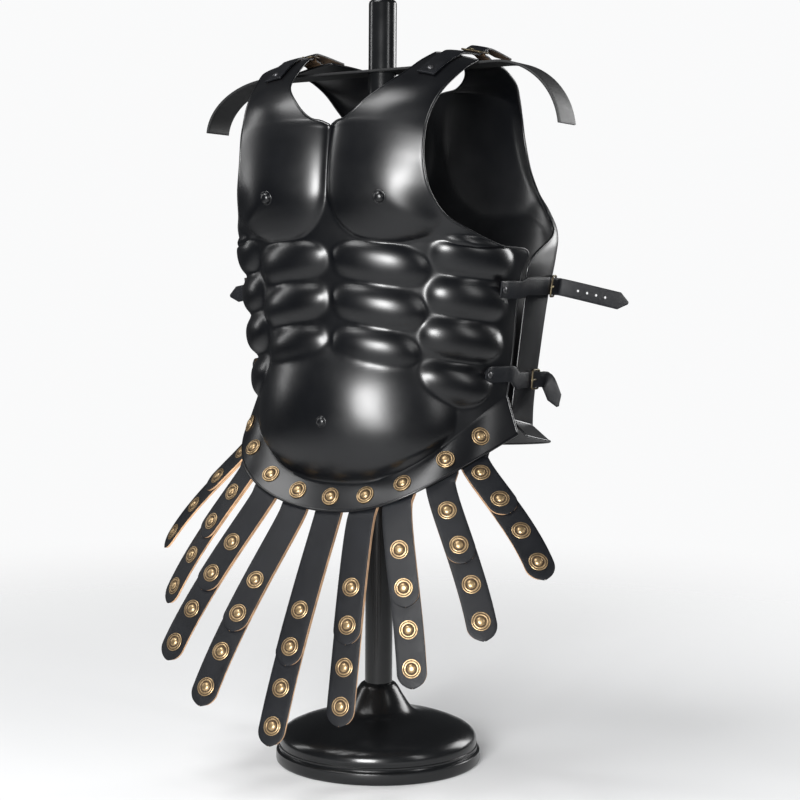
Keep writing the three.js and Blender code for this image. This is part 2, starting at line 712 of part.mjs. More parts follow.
// The leather loop that holds the heel bar, and the short tab behind it that is riveted down.
function chape(line, strapWidth, origin, along, off) {
  const loop = new THREE.Shape();
  loop.absarc(0, 0, LOOP_OUTER, 0, Math.PI * 2);
  const hole = new THREE.Path();
  hole.absarc(0, 0, LOOP_INNER, 0, Math.PI * 2);
  loop.holes.push(hole);
  const width = strapWidth - LOOP_PLAY;
  const tube = new THREE.ExtrudeGeometry(loop, { depth: width, bevelEnabled: false, curveSegments: 4 });
  tube.rotateX(Math.PI / 2).translate(FRAME_HALF - BAR / 2, width / 2, FRAME_HEIGHT);
  const across = off.clone().cross(along).normalize();
  const stations = line.map((place) => ({ place, across, half: width / 2 - TAB_INSET }));
  const tab = ribbon(stations, LEATHER);
  const end = line[line.length - 1].clone().lerp(line[line.length - 2], 0.5);
  const previous = line[line.length - 2];
  const normal = line[line.length - 1].clone().sub(previous).cross(across).normalize();
  const rivet = placed(stud(RIVET), end.addScaledVector(normal, LEATHER / 2 - RIVET_SINK), normal);
  return join(tab, inFrame(tube, origin, along, off), rivet);
}

// ---------------------------------------------------------------- straps
const RIDE = STEEL / 2 + GAP + LEATHER / 2;
const RIM_RIDE = ROLLED_RIM / 2 + GAP + LEATHER / 2;
const STRAP_STEP = 18;
const TAIL_POINT = 12;
const TAIL_TIP_SHARE = 0.2;
const TAIL_HOLES = [30, 42, 54, 66];
const HOLE = { radius: 1.6, depth: 8, sides: 5 };
// The strap's way through its buckle: along | height over the plate
const THREADED = [[-16, RIDE], [-8.8, RIDE], [4, 8.6], [10, 10.8]];
// How much higher than RIDE the strap lies over the muscles, the back's rim and the shoulder
const OVER_MUSCLES = 2.9;
const OVER_BACK = 0.4;
const OVER_SHOULDER = 0.6;
const OVER_SHOULDER_RIM = 0.3;
const OVER_TAB = 0.9;

// Lifts a line of points off the plate, away from its inside.
function lifted(points, across, heights, outward) {
  return points.map((p, i) => {
    const ahead = points[Math.min(i + 1, points.length - 1)].clone().sub(points[Math.max(i - 1, 0)]);
    const normal = ahead.cross(across).normalize();
    if (normal.dot(outward) < 0) normal.negate();
    return p.clone().addScaledVector(normal, heights[i]);
  });
}

function inAxes({ origin, along, off }, e, n) {
  return origin.clone().addScaledVector(along, e).addScaledVector(off, n);
}

// A strap with a squared riveted end and a pointed tail, swept along a smooth line.
function strap(line, across, width) {
  const curve = new THREE.CatmullRomCurve3(line, false, 'centripetal');
  const smooth = [line[0].clone()];
  for (let i = 1; i < line.length; i += 1) {
    const pieces = Math.max(1, Math.round(line[i].distanceTo(line[i - 1]) / STRAP_STEP));
    for (let k = 1; k <= pieces; k += 1) {
      smooth.push(curve.getPoint((i - 1 + k / pieces) / (line.length - 1)));
    }
  }
  let length = 0;
  for (let i = 1; i < smooth.length; i += 1) length += smooth[i].distanceTo(smooth[i - 1]);
  const tip = smooth[smooth.length - 1];
  const [shoulder] = alongPolyline(smooth, [1 - TAIL_POINT / length]);
  const places = [...smooth.filter((p) => p.distanceTo(tip) > TAIL_POINT + 3), shoulder, tip];
  const stations = places.map((place, i) => {
    const ahead = places[Math.min(i + 1, places.length - 1)].clone().sub(places[Math.max(i - 1, 0)]);
    ahead.normalize();
    const side = across.clone().addScaledVector(ahead, -across.dot(ahead)).normalize();
    const share = i === places.length - 1 ? TAIL_TIP_SHARE : 1;
    return { place, across: side, half: share * width / 2 };
  });
  const at = (distance) => {
    const [place, next] = alongPolyline(smooth, [distance / length, (distance + 1) / length]);
    const off = next.sub(place).normalize().cross(across).normalize();
    return { place, off };
  };
  return { body: ribbon(stations, LEATHER), length, at };
}

function withRivet({ body, at }, distance, outward) {
  const { place, off } = at(distance);
  if (off.dot(outward) < 0) off.negate();
  const foot = place.addScaledVector(off, LEATHER / 2 - RIVET_SINK);
  return join(body, placed(stud(RIVET), foot, off));
}

function withHoles(geometry, { length, at }, distances) {
  const tools = distances.map((distance) => {
    const { place, off } = at(length - distance);
    const punch = new THREE.CylinderGeometry(HOLE.radius, HOLE.radius, HOLE.depth, HOLE.sides);
    return placed(punch.rotateX(Math.PI / 2), place, off);
  });
  return cut(geometry, ...tools);
}

function mirrored(geometry) {
  const copy = geometry.clone().scale(-1, 1, 1);
  const index = Array.from(copy.getIndex().array);
  for (let i = 0; i < index.length; i += 3) [index[i], index[i + 1]] = [index[i + 1], index[i]];
  copy.setIndex(index);
  return copy;
}

// low, high: heights on the front and at the buckle; start, seat: y of the front end and of the
// buckle; lean: of the plates there; past: the tail's way past the heel bar, along and height;
// rivet: its distance from the front end
const SIDE_STRAPS = [
  {
    name: 'upper', low: 587, high: 591, start: -31, seat: 80, width: 21, lean: 0.13,
    past: [], tip: [285, 98, 571], rivet: 7,
  },
  {
    name: 'lower', low: 487, high: 478, start: -37, seat: 60, width: 19, lean: 0.07,
    past: [[16, 12.5]], tip: [203, 80, 444], rivet: 7,
  },
];
const BAND_SHARE = 0.35;
const BACK_LAP = 26;
const HOLDER_CLEAR = 16;

// The outermost outline of a plate over the height of a strap.
function bandOutline(rows, z, half) {
  const lines = [-half, 0, half].map((dz) => outlineAt(rows, z + dz));
  return lines[1].map((p, i) => {
    const shift = Math.max(...lines.map((line) => Math.hypot(line[i].x, line[i].y)));
    return vec(p.x, p.y, 0).setLength(lerp(Math.hypot(p.x, p.y), shift, BAND_SHARE)).setZ(z);
  });
}

function startAt(points, y) {
  const i = points.findIndex((p) => p.y > y);
  const t = (y - points[i - 1].y) / (points[i].y - points[i - 1].y);
  return { before: i, place: points[i - 1].clone().lerp(points[i], t) };
}

function sideStrapSet({ low, high, start, seat, width, lean, past, tip, rivet }) {
  const up = vec(lean, 0, 1).normalize();
  const out = vec(1, 0, 0);
  const front = bandOutline(FRONT_PLATE.rows, low, width / 2);
  const begin = startAt(front, start);
  const laid = [begin.place, ...front.slice(begin.before)];
  const heights = laid.map((_, i) => (i < laid.length - 1 ? RIDE + OVER_MUSCLES : RIM_RIDE));
  const first = lifted(laid, up, heights, out);
  const back = bandOutline(BACK_PLATE.rows, high, width / 2).reverse();
  const buckled = startAt(back, seat);
  const origin = buckled.place;
  const along = back[buckled.before].clone().sub(back[buckled.before - 1]).normalize();
  const off = along.clone().cross(up).normalize();
  const axes = { origin, along, off };
  const over = back.filter((p) => p.y < seat - BACK_LAP);
  const overHeights = over.map((_, i) => (i === 0 ? RIM_RIDE : RIDE + OVER_BACK));
  const second = over.length > 1 ? lifted(over, up, overHeights, out) : [];
  const threaded = [...THREADED, ...past].map(([e, n]) => inAxes(axes, e, n));
  const body = strap([...first, ...second, ...threaded, vec(...tip)], up, width);
  const behind = back.filter((p) => p.y > seat && p.distanceTo(origin) > HOLDER_CLEAR).slice(0, 3);
  const seatHeights = [RIDE, ...behind.map(() => RIDE + OVER_TAB)];
  const seatLine = lifted([origin, ...behind], up, seatHeights, out);
  return {
    strap: body,
    geometry: withRivet(body, rivet, out),
    buckle: inFrame(buckle(width), origin, along, off),
    chape: chape(chapeLine(seatLine), width, origin, along, off),
  };
}

// The part of a line of points that the chape's tab lies on, from the heel bar on.
const CHAPE_STATIONS = [0, 8, 16, 24, 30];
function chapeLine(points) {
  let total = 0;
  for (let i = 1; i < points.length; i += 1) total += points[i].distanceTo(points[i - 1]);
  return alongPolyline(points, CHAPE_STATIONS.map((d) => (FRAME_HALF - BAR / 2 + d) / total));
}

const SHOULDER = {
  width: 23, start: [103, -84], seat: [116, 16, 864.5], slope: -0.2, tip: [118, 105, 868],
  rivet: 12, tabShift: 2,
};

function rowPoint(row, x) {
  let i = 1;
  while (i < row.length - 1 && row[i].x < x) i += 1;
  return row[i - 1].clone().lerp(row[i], (x - row[i - 1].x) / (row[i].x - row[i - 1].x));
}

function shoulderStrapSet() {
  const { width, start, seat, slope, tip, rivet, tabShift } = SHOULDER;
  const up = vec(0, 0, 1);
  const across = vec(1, 0, slope).normalize();
  const centreAt = (y) => lerp(start[0], seat[0], (y - start[1]) / (seat[1] - start[1]));
  const front = FRONT_PLATE.rows.slice(-6).map((row) => rowPoint(row, centreAt(row[5].y)));
  const begin = startAt(front, start[1]);
  const laid = [begin.place, ...front.slice(begin.before)];
  const heights = laid.map((_, i) => (
    i < laid.length - 1 ? RIDE + OVER_SHOULDER : RIM_RIDE + OVER_SHOULDER_RIM));
  const first = lifted(laid, across, heights, up);
  const origin = vec(...seat);
  const along = vec(seat[0] - start[0], seat[1] - start[1], 0).normalize();
  const off = across.clone().cross(along).normalize();
  const axes = { origin, along, off };
  const threaded = THREADED.map(([e, n]) => inAxes(axes, e, n));
  const body = strap([...first, ...threaded, vec(...tip)], across, width);
  const back = BACK_PLATE.rows.slice(-3, -1).reverse().map((row) => rowPoint(row, seat[0] + tabShift));
  const held = [0, FRAME_HALF + 1].map((e) => inAxes(axes, e, RIDE));
  const tab = [...held, ...lifted(back, across, back.map(() => RIDE + OVER_TAB), up)];
  return {
    strap: body,
    geometry: withRivet(body, rivet, up),
    buckle: inFrame(buckle(width), origin, along, off),
    chape: chape(chapeLine(tab), width, origin, along, off),
  };
}

// ---------------------------------------------------------------- build
add('stand_base', standBase(), standEnamel());
add('stand_pole', standPole(), standEnamel());
add('stand_crossbar', standCrossbar(), standEnamel());
add('breastplate', breastplate(), blackSteel());
add('backplate', plateSolid(BACK_PLATE, -1), blackSteel());

for (const row of STRIPS) {
  const [number, x] = row;
  const { middle, off } = flangeFrame(x);
  const foot = middle.clone().addScaledVector(off, STEEL / 2 + ROSETTE_STANDOFF);
  add(`flange_rosette_${number}`, placed(stud(FLANGE_ROSETTE), foot, off), antiqueBrass());
  add(`short_strip_${number}`, strip(row, SHORT_STRIP), blackLeather());
  add(`long_strip_${number}`, strip(row, LONG_STRIP), blackLeather());
}

const STRAP_SETS = [
  ...SIDE_STRAPS.map((row) => [`${row.name}_side`, sideStrapSet(row), row.name === 'upper']),
  ['shoulder', shoulderStrapSet(), true],
];
for (const [name, set, longTail] of STRAP_SETS) {
  const holed = longTail ? withHoles(set.geometry, set.strap, TAIL_HOLES) : set.geometry;
  for (const [hand, turn] of [['left', (g) => g], ['right', mirrored]]) {
    add(`${hand}_${name}_strap`, turn(holed), blackLeather());
    add(`${hand}_${name}_buckle`, turn(set.buckle), antiqueBrass());
    add(`${hand}_${name}_chape`, turn(set.chape), blackLeather());
  }
}

export default part;
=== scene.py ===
"""Steel muscle cuirass on a plain stand: the looks of every piece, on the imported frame."""
import math

import bpy
import numpy as np
from mathutils import Matrix, Vector

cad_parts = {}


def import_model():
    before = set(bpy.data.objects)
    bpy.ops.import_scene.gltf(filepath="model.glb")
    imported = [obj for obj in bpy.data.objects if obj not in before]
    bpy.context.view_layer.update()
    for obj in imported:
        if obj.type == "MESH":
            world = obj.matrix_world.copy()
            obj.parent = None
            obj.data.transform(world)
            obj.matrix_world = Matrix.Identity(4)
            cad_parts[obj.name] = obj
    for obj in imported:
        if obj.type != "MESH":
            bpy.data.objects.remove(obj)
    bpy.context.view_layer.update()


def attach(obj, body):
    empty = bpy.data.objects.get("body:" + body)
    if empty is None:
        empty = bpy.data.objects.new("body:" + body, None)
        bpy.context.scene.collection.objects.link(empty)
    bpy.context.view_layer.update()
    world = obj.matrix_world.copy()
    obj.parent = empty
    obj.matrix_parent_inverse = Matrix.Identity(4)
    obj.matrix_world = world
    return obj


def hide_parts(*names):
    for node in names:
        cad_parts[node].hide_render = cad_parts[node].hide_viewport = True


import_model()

bl_info = {
    "name": "Steel muscle cuirass",
    "version": (1, 0, 0),
    "blender": (4, 5, 0),
    "location": "3D View > Sidebar > Cuirass",
    "description": "Makes a muscle breastplate and backplate with straps and strips, on a stand",
    "category": "Object",
}

# ------------------------------------------------------------------ measures, in millimetres
MM = 0.001
GAP = 0.3
POLE_RADIUS = 17.0
POLE_TOP = 935.0
SOCKET_FLOOR = 60.0
BAR_WIDTH = 48.0
BAR_THICKNESS = 3.0
BAR_HEIGHT = 848.0
BAR_TILT = 1.6
BAR_BORE = POLE_RADIUS + GAP
# level run | reach of the bend | drop of the bend
BAR_ENDS = {"left": (140, 102, 68), "right": (160, 82, 83)}

# inner x, y, z | outer x, y, z | square | cut | fall
FRONT_SECTIONS = np.array([
    [0, -110.8, 357, 171, 0, 461, 2.2, 0.96, 2.4],
    [0, -113, 398, 171.5, 4, 474, 2.0, 0.98, 2.4],
    [0, -116, 440, 172, 7, 487, 1.85, 0.985, 2.3],
    [0, -119, 480, 173, 8, 501, 1.85, 0.985, 2.2],
    [0, -122, 526, 175.5, 8, 528, 1.9, 0.99, 2],
    [0, -122, 573, 178.5, 8, 566, 2, 0.99, 2],
    [0, -123, 617, 184.5, 9, 605, 2, 0.99, 2],
    [0, -127, 643, 190, 12, 632, 2.1, 0.99, 2],
    [0, -129, 662, 177, -36, 638.5, 2.1, 0.97, 2],
    [0, -131, 682, 157.5, -76, 655, 2.3, 0.92, 2],
    [0, -132, 700, 139.5, -103, 672, 2.5, 0.88, 2],
    [0, -131, 722, 128.5, -122, 700, 2.5, 0.85, 2],
    [0, -128, 748, 123, -126.5, 733, 2.4, 0.8, 2],
    [0, -123, 774, 122.5, -124, 764, 2.4, 0.8, 2],
    [22, -121, 780, 123.5, -117, 783, 2.2, 0.8, 1.2],
    [46, -115.5, 798, 126, -107, 800, 2.2, 0.8, 1.2],
    [65, -103.5, 817, 129.5, -92, 816, 2.2, 0.8, 1.2],
    [74, -84, 834, 134, -72, 831, 2, 0.8, 1.2],
    [81, -56, 852, 139.5, -50, 845, 2, 0.8, 1.4],
    [87, -28, 864.5, 142, -28, 853, 2, 0.8, 1.4],
])
FRONT_NOTCH = 13
# inner x, y, z | outer x, y, z | square | widest x, y | fall
BACK_SECTIONS = np.array([
    [0, 126, 404, 170.5, 14, 432, 2.6, 172, 60, 2],
    [0, 126, 440, 171.5, 17, 455, 2.6, 173, 60, 2],
    [0, 128, 495, 174.7, 22, 499, 2.6, 178, 62, 2],
    [0, 138, 573, 182.5, 24, 573, 2.6, 187, 64, 2],
    [0, 148, 628, 189.5, 22, 620, 2.6, 194, 70, 2],
    [0, 152, 662, 193.5, 79, 652, 2.6, 193.5, 79, 2],
    [0, 154, 690, 174, 105, 680, 2.6, 174, 105, 2],
    [0, 155, 715, 153, 125, 704, 2.4, 153, 125, 2],
    [0, 155, 745, 137, 135, 735, 2.4, 137, 135, 2],
    [0, 153, 785, 128, 137, 772, 2.4, 128, 137, 2],
    [0, 147, 828, 127, 130, 800, 2.4, 127, 130, 2],
    [30, 142, 838, 131, 113, 818, 2.2, 131, 113, 1.3],
    [54, 118, 850, 136, 92, 836, 2, 136, 92, 1.3],
    [73, 76, 860, 138.5, 58, 849, 2, 138.5, 58, 1.4],
    [87, 28, 864.5, 142, 28, 853, 2, 142, 28, 1.4],
])
BACK_NOTCH = 10
BACK_FLARE = 22.0

# along the steel from the centre line | height | half length inwards | outwards | its growth
# with height | half height up | down | tilt, outer end down | raise | fullness | edge softness
FRONT_MUSCLES = [
    ("pectoral", 73, 712, 71.5, 80, 75, 190, 71, 0, 16, 2.3, 0.58),
    ("abdominal_1", 61, 617, 58, 58, 0, 24.6, 24.6, 6, 12.5, 2.3, 0.7),
    ("abdominal_2", 59, 568, 56, 56, 0, 24.6, 24.6, 8, 12.5, 2.3, 0.7),
    ("abdominal_3", 55, 518, 52, 52, 0, 24.6, 24.6, 8, 12.5, 2.3, 0.7),
    ("oblique_1", 170, 624, 47, 58, 0, 24.5, 24.5, 4, 12, 2.3, 0.7),
    ("oblique_2", 164, 577, 48, 58, 0, 24.5, 24.5, 6, 12.5, 2.3, 0.7),
    ("oblique_3", 156, 529, 48, 58, 0, 24.5, 24.5, 7, 12.5, 2.3, 0.7),
    ("oblique_4", 145, 477, 46, 58, 0, 24, 24, 8, 12.5, 2.3, 0.7),
    ("belly", 0, 428, 158, 158, 0, 96, 70, 0, 27, 2.1, 0.95),
]
BACK_MUSCLES = [
    ("shoulder_blade", 80, 758, 74, 74, 0, 90, 84, 10, 7, 2.2, 0.9),
    ("side_muscle", 108, 620, 70, 70, 0, 62, 62, 0, 5, 2.2, 0.8),
    ("loin", 46, 520, 40, 40, 0, 70, 70, 0, 6, 2.4, 0.8),
]
# The muscles die away over these widths: beside the side seam, beside the armhole, beside the
# backplate's edge, and above the root of the flange or flare
SEAM_FADE = 34.0
ARMHOLE_FADE = 68.0
BACK_FADE = 30.0
ROOT_FADE = 12.0
# across | height | radius | raise
BOSSES = [("left nipple", 75.6, 692, 8.5, 6), ("right nipple", -75.6, 692, 8.5, 6),
          ("navel", 0, 433, 7, 4)]

FLANGE_REACH = 187.0
FLANGE_Y = (-128, -3.1, 11.1)
FLANGE_Z = (326, 21.9, 1.1)

# number | across on the flange | bearing | slope | length | depth behind the flange
STRIPS = [
    (1, -159, -60, 53, 191, 6), (2, -132, -50, 59, 216, 5.4), (3, -90, -34, 57, 251, 4),
    (4, -46, -18, 57, 278, 4), (5, 0, -3, 64, 298, 3.4), (6, 46, 10, 69, 267, 4),
    (7, 90, 36, 71, 234, 4), (8, 132, 51, 60, 218, 5.4), (9, 159, 59, 46, 201, 7.4),
]
STRIP_STUDS = (22, 66)
STRIP_TOP = 11.0
STRIP_PAST_RIM = 22.0
STRIP_DROOP = 0.35
SHORT_END = 92.0

BAR = 2.4
FRAME_HEIGHT = 5.2
FRAME_HALF = 11.0
THREADED = ((-16, 2.2), (-8.8, 2.2), (4, 8.6), (10, 10.8))
TAIL_POINT = 12.0
RIVET_LIFT = 1.3
# rows of a plate's grid below its body
FLANGE_ROWS = 12
# height of a strap's middle over the steel: along it | at its last point
SIDE_LIFT = (2.6, 3.2)
SHOULDER_LIFT = (2.8, 3.3)
BACK_LIFT = 2.9
TAIL_HOLES = (30, 42, 54, 66)
SIDE_STRAPS = [
    {"name": "upper_side", "low": 587, "high": 591, "start": -31, "seat": 80, "width": 21,
     "lean": 0.13, "past": (), "tip": (285, 98, 571), "holes": True},
    {"name": "lower_side", "low": 487, "high": 478, "start": -37, "seat": 60, "width": 19,
     "lean": 0.07, "past": ((16, 12.5),), "tip": (203, 80, 444), "holes": False},
]
SHOULDER = {"name": "shoulder", "width": 23, "start": (103, -84), "seat": (116, 16, 864.5),
            "slope": -0.2, "tip": (118, 105, 868), "holes": True}


# ------------------------------------------------------------------ what a user may change
class CuirassSizes(bpy.types.PropertyGroup):
    """Sizes that can be changed without changing the cuirass's form."""
    steel: bpy.props.FloatProperty(
        name="Steel", description="Thickness of the plates", default=0.0016,
        unit="LENGTH", precision=4)
    rim: bpy.props.FloatProperty(
        name="Rolled rim", description="Thickness of the rolled edges", default=0.0032,
        unit="LENGTH", precision=4)
    leather: bpy.props.FloatProperty(
        name="Leather", description="Thickness of the straps and strips", default=0.0022,
        unit="LENGTH", precision=4)
    strip_width: bpy.props.FloatProperty(
        name="Strip width", description="Width of the hanging strips", default=0.035,
        unit="LENGTH", precision=4)
    rosette: bpy.props.FloatProperty(
        name="Rosette", description="Radius of the rosettes", default=0.011,
        unit="LENGTH", precision=4)


class CuirassColours(bpy.types.PropertyGroup):
    """Colours of the finishes."""
    steel: bpy.props.FloatVectorProperty(
        name="Black steel", description="Colour of the plates", subtype="COLOR", size=3,
        default=(0.0018, 0.0021, 0.0029))
    leather: bpy.props.FloatVectorProperty(
        name="Leather", description="Grain side of the leather", subtype="COLOR", size=3,
        default=(0.0035, 0.0039, 0.005))
    raw_edge: bpy.props.FloatVectorProperty(
        name="Raw edge", description="Cut edge of the leather", subtype="COLOR", size=3,
        default=(0.56, 0.34, 0.19))
    brass: bpy.props.FloatVectorProperty(
        name="Brass", description="Rubbed brass", subtype="COLOR", size=3,
        default=(0.37, 0.26, 0.14))
    brass_dark: bpy.props.FloatVectorProperty(
        name="Dark brass", description="Brass in the hollows", subtype="COLOR", size=3,
        default=(0.055, 0.037, 0.024))
    enamel: bpy.props.FloatVectorProperty(
        name="Stand enamel", description="Colour of the stand", subtype="COLOR", size=3,
        default=(0.004, 0.0043, 0.0047))
    floor: bpy.props.FloatVectorProperty(
        name="Floor", description="Colour of the floor and backdrop", subtype="COLOR", size=3,
        default=(0.76, 0.765, 0.77))


# ------------------------------------------------------------------ lines and sections
def table_row(table, position):
    """Every column of a table at a fractional row, on a Catmull-Rom curve."""
    last = len(table) - 1
    i = min(max(int(math.floor(position)), 0), last - 1)
    t = position - i
    a, b, c, d = (table[min(max(k, 0), last)] for k in (i - 1, i, i + 1, i + 2))
    return 0.5 * (2 * b + (c - a) * t + (2 * a - 5 * b + 4 * c - d) * t ** 2
                  + (3 * b - a - 3 * c + d) * t ** 3)


def lengths_of(points):
    """Distance travelled along a polyline at each of its points."""
    steps = np.linalg.norm(np.diff(points, axis=0), axis=1)
    return np.concatenate([[0.0], np.cumsum(steps)])


def along(points, distances):
    """Points of a polyline at distances from its start."""
    travelled = lengths_of(points)
    return np.stack([np.interp(distances, travelled, points[:, k]) for k in range(3)], -1)


def unit(v):
    """A vector, or each row of vectors, at length one."""
    v = np.asarray(v, float)
    return v / np.maximum(np.linalg.norm(v, axis=-1, keepdims=True), 1e-12)


def smooth_step(low, high, x):
    """Nought below low, one above high, and a smooth rise between."""
    t = np.clip((x - low) / (high - low), 0, 1)
    return t * t * (3 - 2 * t)


def front_section(row, steps=90):
    """Half of a section of the breastplate, from the centre line to the edge."""
    xi, yi, zi, xo, yo, zo, square, cut, fall = row
    xi = max(0.0, xi)
    s = np.sin(np.linspace(0, math.pi / 2, steps + 1))
    sag = 1 - (1 - (cut * s) ** square) ** (1 / square)
    return np.stack([xi + (xo - xi) * s, yi + (yo - yi) * sag / sag[-1],
                     zi + (zo - zi) * s ** fall], -1)


def back_section(row, steps=90):
    """Half of a section of the backplate, round to its side seam."""
    xi, yi, zi, xo, yo, zo, square, xw, yw, fall = row
    xi = max(0.0, xi)
    angle = np.linspace(0, math.pi / 2, steps + 1)
    s = np.sin(angle) ** (2 / square)
    c = np.clip(np.cos(angle), 0, 1) ** (2 / square)
    points = np.stack([xi + (xw - xi) * s, yw + (yi - yw) * c, 0 * s], -1)
    if math.hypot(xw - xo, yw - yo) > 1:
        t = np.linspace(0, 1, 17)[1:]
        tail = np.stack([xw + (xo - xw) * t * t, yw + (yo - yw) * t, 0 * t], -1)
        points = np.concatenate([points, tail])
    travelled = lengths_of(points)
    points[:, 2] = zi + (zo - zi) * (travelled / travelled[-1]) ** fall
    return points


def raised(muscles, across, height):
    """How far the muscles stand out of the plate."""
    total = np.zeros_like(across)
    for (_, centre, middle, inward, outward, growth, up, down, tilt, raise_by, fullness,
         softness) in muscles:
        dx = across - centre
        dz = height - middle + dx * math.tan(math.radians(tilt))
        length = np.where(dx > 0, outward + growth * smooth_step(-30, 40, dz), inward)
        high = np.where(dz > 0, up, down)
        d = np.abs(dx / length) ** fullness + np.abs(dz / high) ** fullness
        total = np.maximum(total, raise_by * np.clip(1 - d, 0, 1) ** softness)
    return total


def softened(field, passes=2):
    """A field over the grid with its creases rounded, as in beaten steel."""
    for _ in range(passes):
        for axis in (0, 1):
            pad = [(1, 1) if k == axis else (0, 0) for k in (0, 1)]
            wide = np.pad(field, pad, mode="reflect")
            low, middle, high = (np.take(wide, range(k, k + field.shape[axis]), axis)
                                 for k in (0, 1, 2))
            field = (low + 2 * middle + high) / 4
    return field


def grid_normals(points):
    """Normals of a grid of points, along columns crossed with along rows."""
    return unit(np.cross(np.gradient(points, axis=1), np.gradient(points, axis=0)))


def plate_half(sections, section_of, positions, columns, muscles, fade, share, outward):
    """Half a plate as a grid: rows upwards, columns from the centre line outwards."""
    lines = [section_of(table_row(sections, p)) for p in positions]
    totals = np.array([lengths_of(line)[-1] for line in lines])
    grid = np.stack([along(line, columns * total) for line, total in zip(lines, totals)])
    offsets = np.array([line[0][0] for line in lines])
    across = columns[None] * totals[:, None] + offsets[:, None]
    edge = (1 - columns[None]) * totals[:, None]
    fades = np.array([fade(p) for p in positions])[:, None]
    shares = np.array([share(p) for p in positions])[:, None]
    t = np.clip(edge / fades, 0, 1)
    dome = smooth_step(SEAM_FADE, ARMHOLE_FADE, fades)
    away = (1 - dome) * smooth_step(2, fades, edge) + dome * t * (2 - t)
    root = smooth_step(0, ROOT_FADE, grid[..., 2] - grid[:1, :, 2])
    lift = softened(raised(muscles, across, grid[..., 2]) * shares * away * root)
    normals = grid_normals(grid) * outward
    normals[np.abs(grid[..., 0]) < 1e-6, 0] = 0
    return grid + unit(normals) * lift[..., None]


def flange_rim(x):
    """The flange's rim at a place across."""
    q = (np.asarray(x, float) / 100) ** 2
    return np.stack([x, FLANGE_Y[0] + FLANGE_Y[1] * q + FLANGE_Y[2] * q * q,
                     FLANGE_Z[0] + FLANGE_Z[1] * q + FLANGE_Z[2] * q * q], -1)


FLANGE_ROOT_LINE = front_section(FRONT_SECTIONS[0])
FLANGE_RIM_LINE = flange_rim(FLANGE_ROOT_LINE[:, 0] * FLANGE_REACH / FRONT_SECTIONS[0][3])


def even_columns(count):
    """Column fractions: even, with a few close ones at the outer edge."""
    return np.concatenate([np.linspace(0, 0.985, count), [0.99, 0.995, 1.0]])


def breastplate_grid(rows=186, count=96):
    """The breastplate's half grid, flange first, and its notch row."""
    below = np.linspace(0, FRONT_NOTCH, int(rows * 0.8))
    above = np.linspace(FRONT_NOTCH, 19, int(rows * 0.2))[1:]
    positions = np.concatenate([below, above])
    columns = even_columns(count)
    body = plate_half(FRONT_SECTIONS, front_section, positions, columns, FRONT_MUSCLES,
                      lambda p: SEAM_FADE + (ARMHOLE_FADE - SEAM_FADE) * smooth_step(7, 9, p),
                      lambda p: 1 - smooth_step(14, 18, p), 1)
    rim = along(FLANGE_RIM_LINE, columns * lengths_of(FLANGE_RIM_LINE)[-1])
    shares = np.linspace(1, 0, 12)[:-1]
    flange = np.stack([body[0] * (1 - s) + rim * s for s in shares])
    return np.concatenate([flange, body]), len(shares) + len(below) - 1


def backplate_grid(rows=130, count=64):
    """The backplate's half grid, flared edge first, and its notch row."""
    below = np.linspace(0, BACK_NOTCH, int(rows * 0.8))
    above = np.linspace(BACK_NOTCH, 14, int(rows * 0.2))[1:]
    positions = np.concatenate([below, above])
    body = plate_half(BACK_SECTIONS, back_section, positions, even_columns(count), BACK_MUSCLES,
                      lambda p: BACK_FADE, lambda p: 1, -1)
    out = unit(np.stack([body[0][:, 0], body[0][:, 1] - 40, 0 * body[0][:, 0]], -1))
    rim = body[0] + BACK_FLARE * out + np.array([0, 0, -BACK_FLARE * 0.85])
    shares = np.linspace(1, 0, 8)[:-1]
    flare = np.stack([body[0] * (1 - s) + rim * s for s in shares])
    return np.concatenate([flare, body]), len(shares) + len(below) - 1


FRONT_GRID, FRONT_NOTCH_ROW = breastplate_grid()
BACK_GRID, BACK_NOTCH_ROW = backplate_grid()


# ------------------------------------------------------------------ modelling helpers
def deselect():
    """Leaves nothing selected and no edit mode open."""
    if bpy.context.object and bpy.context.object.mode != "OBJECT":
        bpy.ops.object.mode_set(mode="OBJECT")
    bpy.ops.object.select_all(action="DESELECT")


def activate(obj):
    """Makes one object the only selected one."""
    deselect()
    obj.select_set(True)
    bpy.context.view_layer.objects.active = obj


def grid_sheet(name, points):
    """A primitive grid whose points, in millimetres, are rows by columns."""
    deselect()
    rows, columns = points.shape[:2]
    bpy.ops.mesh.primitive_grid_add(x_subdivisions=columns - 1, y_subdivisions=rows - 1, size=1)
    obj = bpy.context.object
    obj.name = name
    obj.data.name = name
    obj.data.vertices.foreach_set("co", (points.reshape(-1, 3) * MM).astype(np.float32).ravel())
    obj.data.update()
    return obj


def apply_modifier(obj, kind, **settings):
    """Adds a modifier with these settings and applies it."""
    activate(obj)
    modifier = obj.modifiers.new(kind.title(), kind)
    for key, value in settings.items():
        setattr(modifier, key, value)
    bpy.ops.object.modifier_apply(modifier=modifier.name)


def smooth(obj, degrees=40):
    """Smooth shading, with creases kept sharp."""
    activate(obj)
    bpy.ops.object.shade_smooth_by_angle(angle=math.radians(degrees))


def join_all(name, objects):
    """Joins objects into the first of them."""
    activate(objects[0])
    for obj in objects[1:]:
        obj.select_set(True)
    if len(objects) > 1:
        bpy.ops.object.join()
    obj = bpy.context.object
    obj.name = name
    obj.data.name = name
    return obj


def finish_piece(obj, materials, slot, *nodes):
    """Gives a piece its materials and its body, and hides the imported parts that it stands for.
    """
    for k, material in enumerate(materials):
        if k < len(obj.data.materials):
            obj.data.materials[k] = material
        else:
            obj.data.materials.append(material)
    activate(obj)
    bpy.ops.object.transform_apply(location=True, rotation=True, scale=True)
    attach(obj, "root")
    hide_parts(*nodes)
    return obj


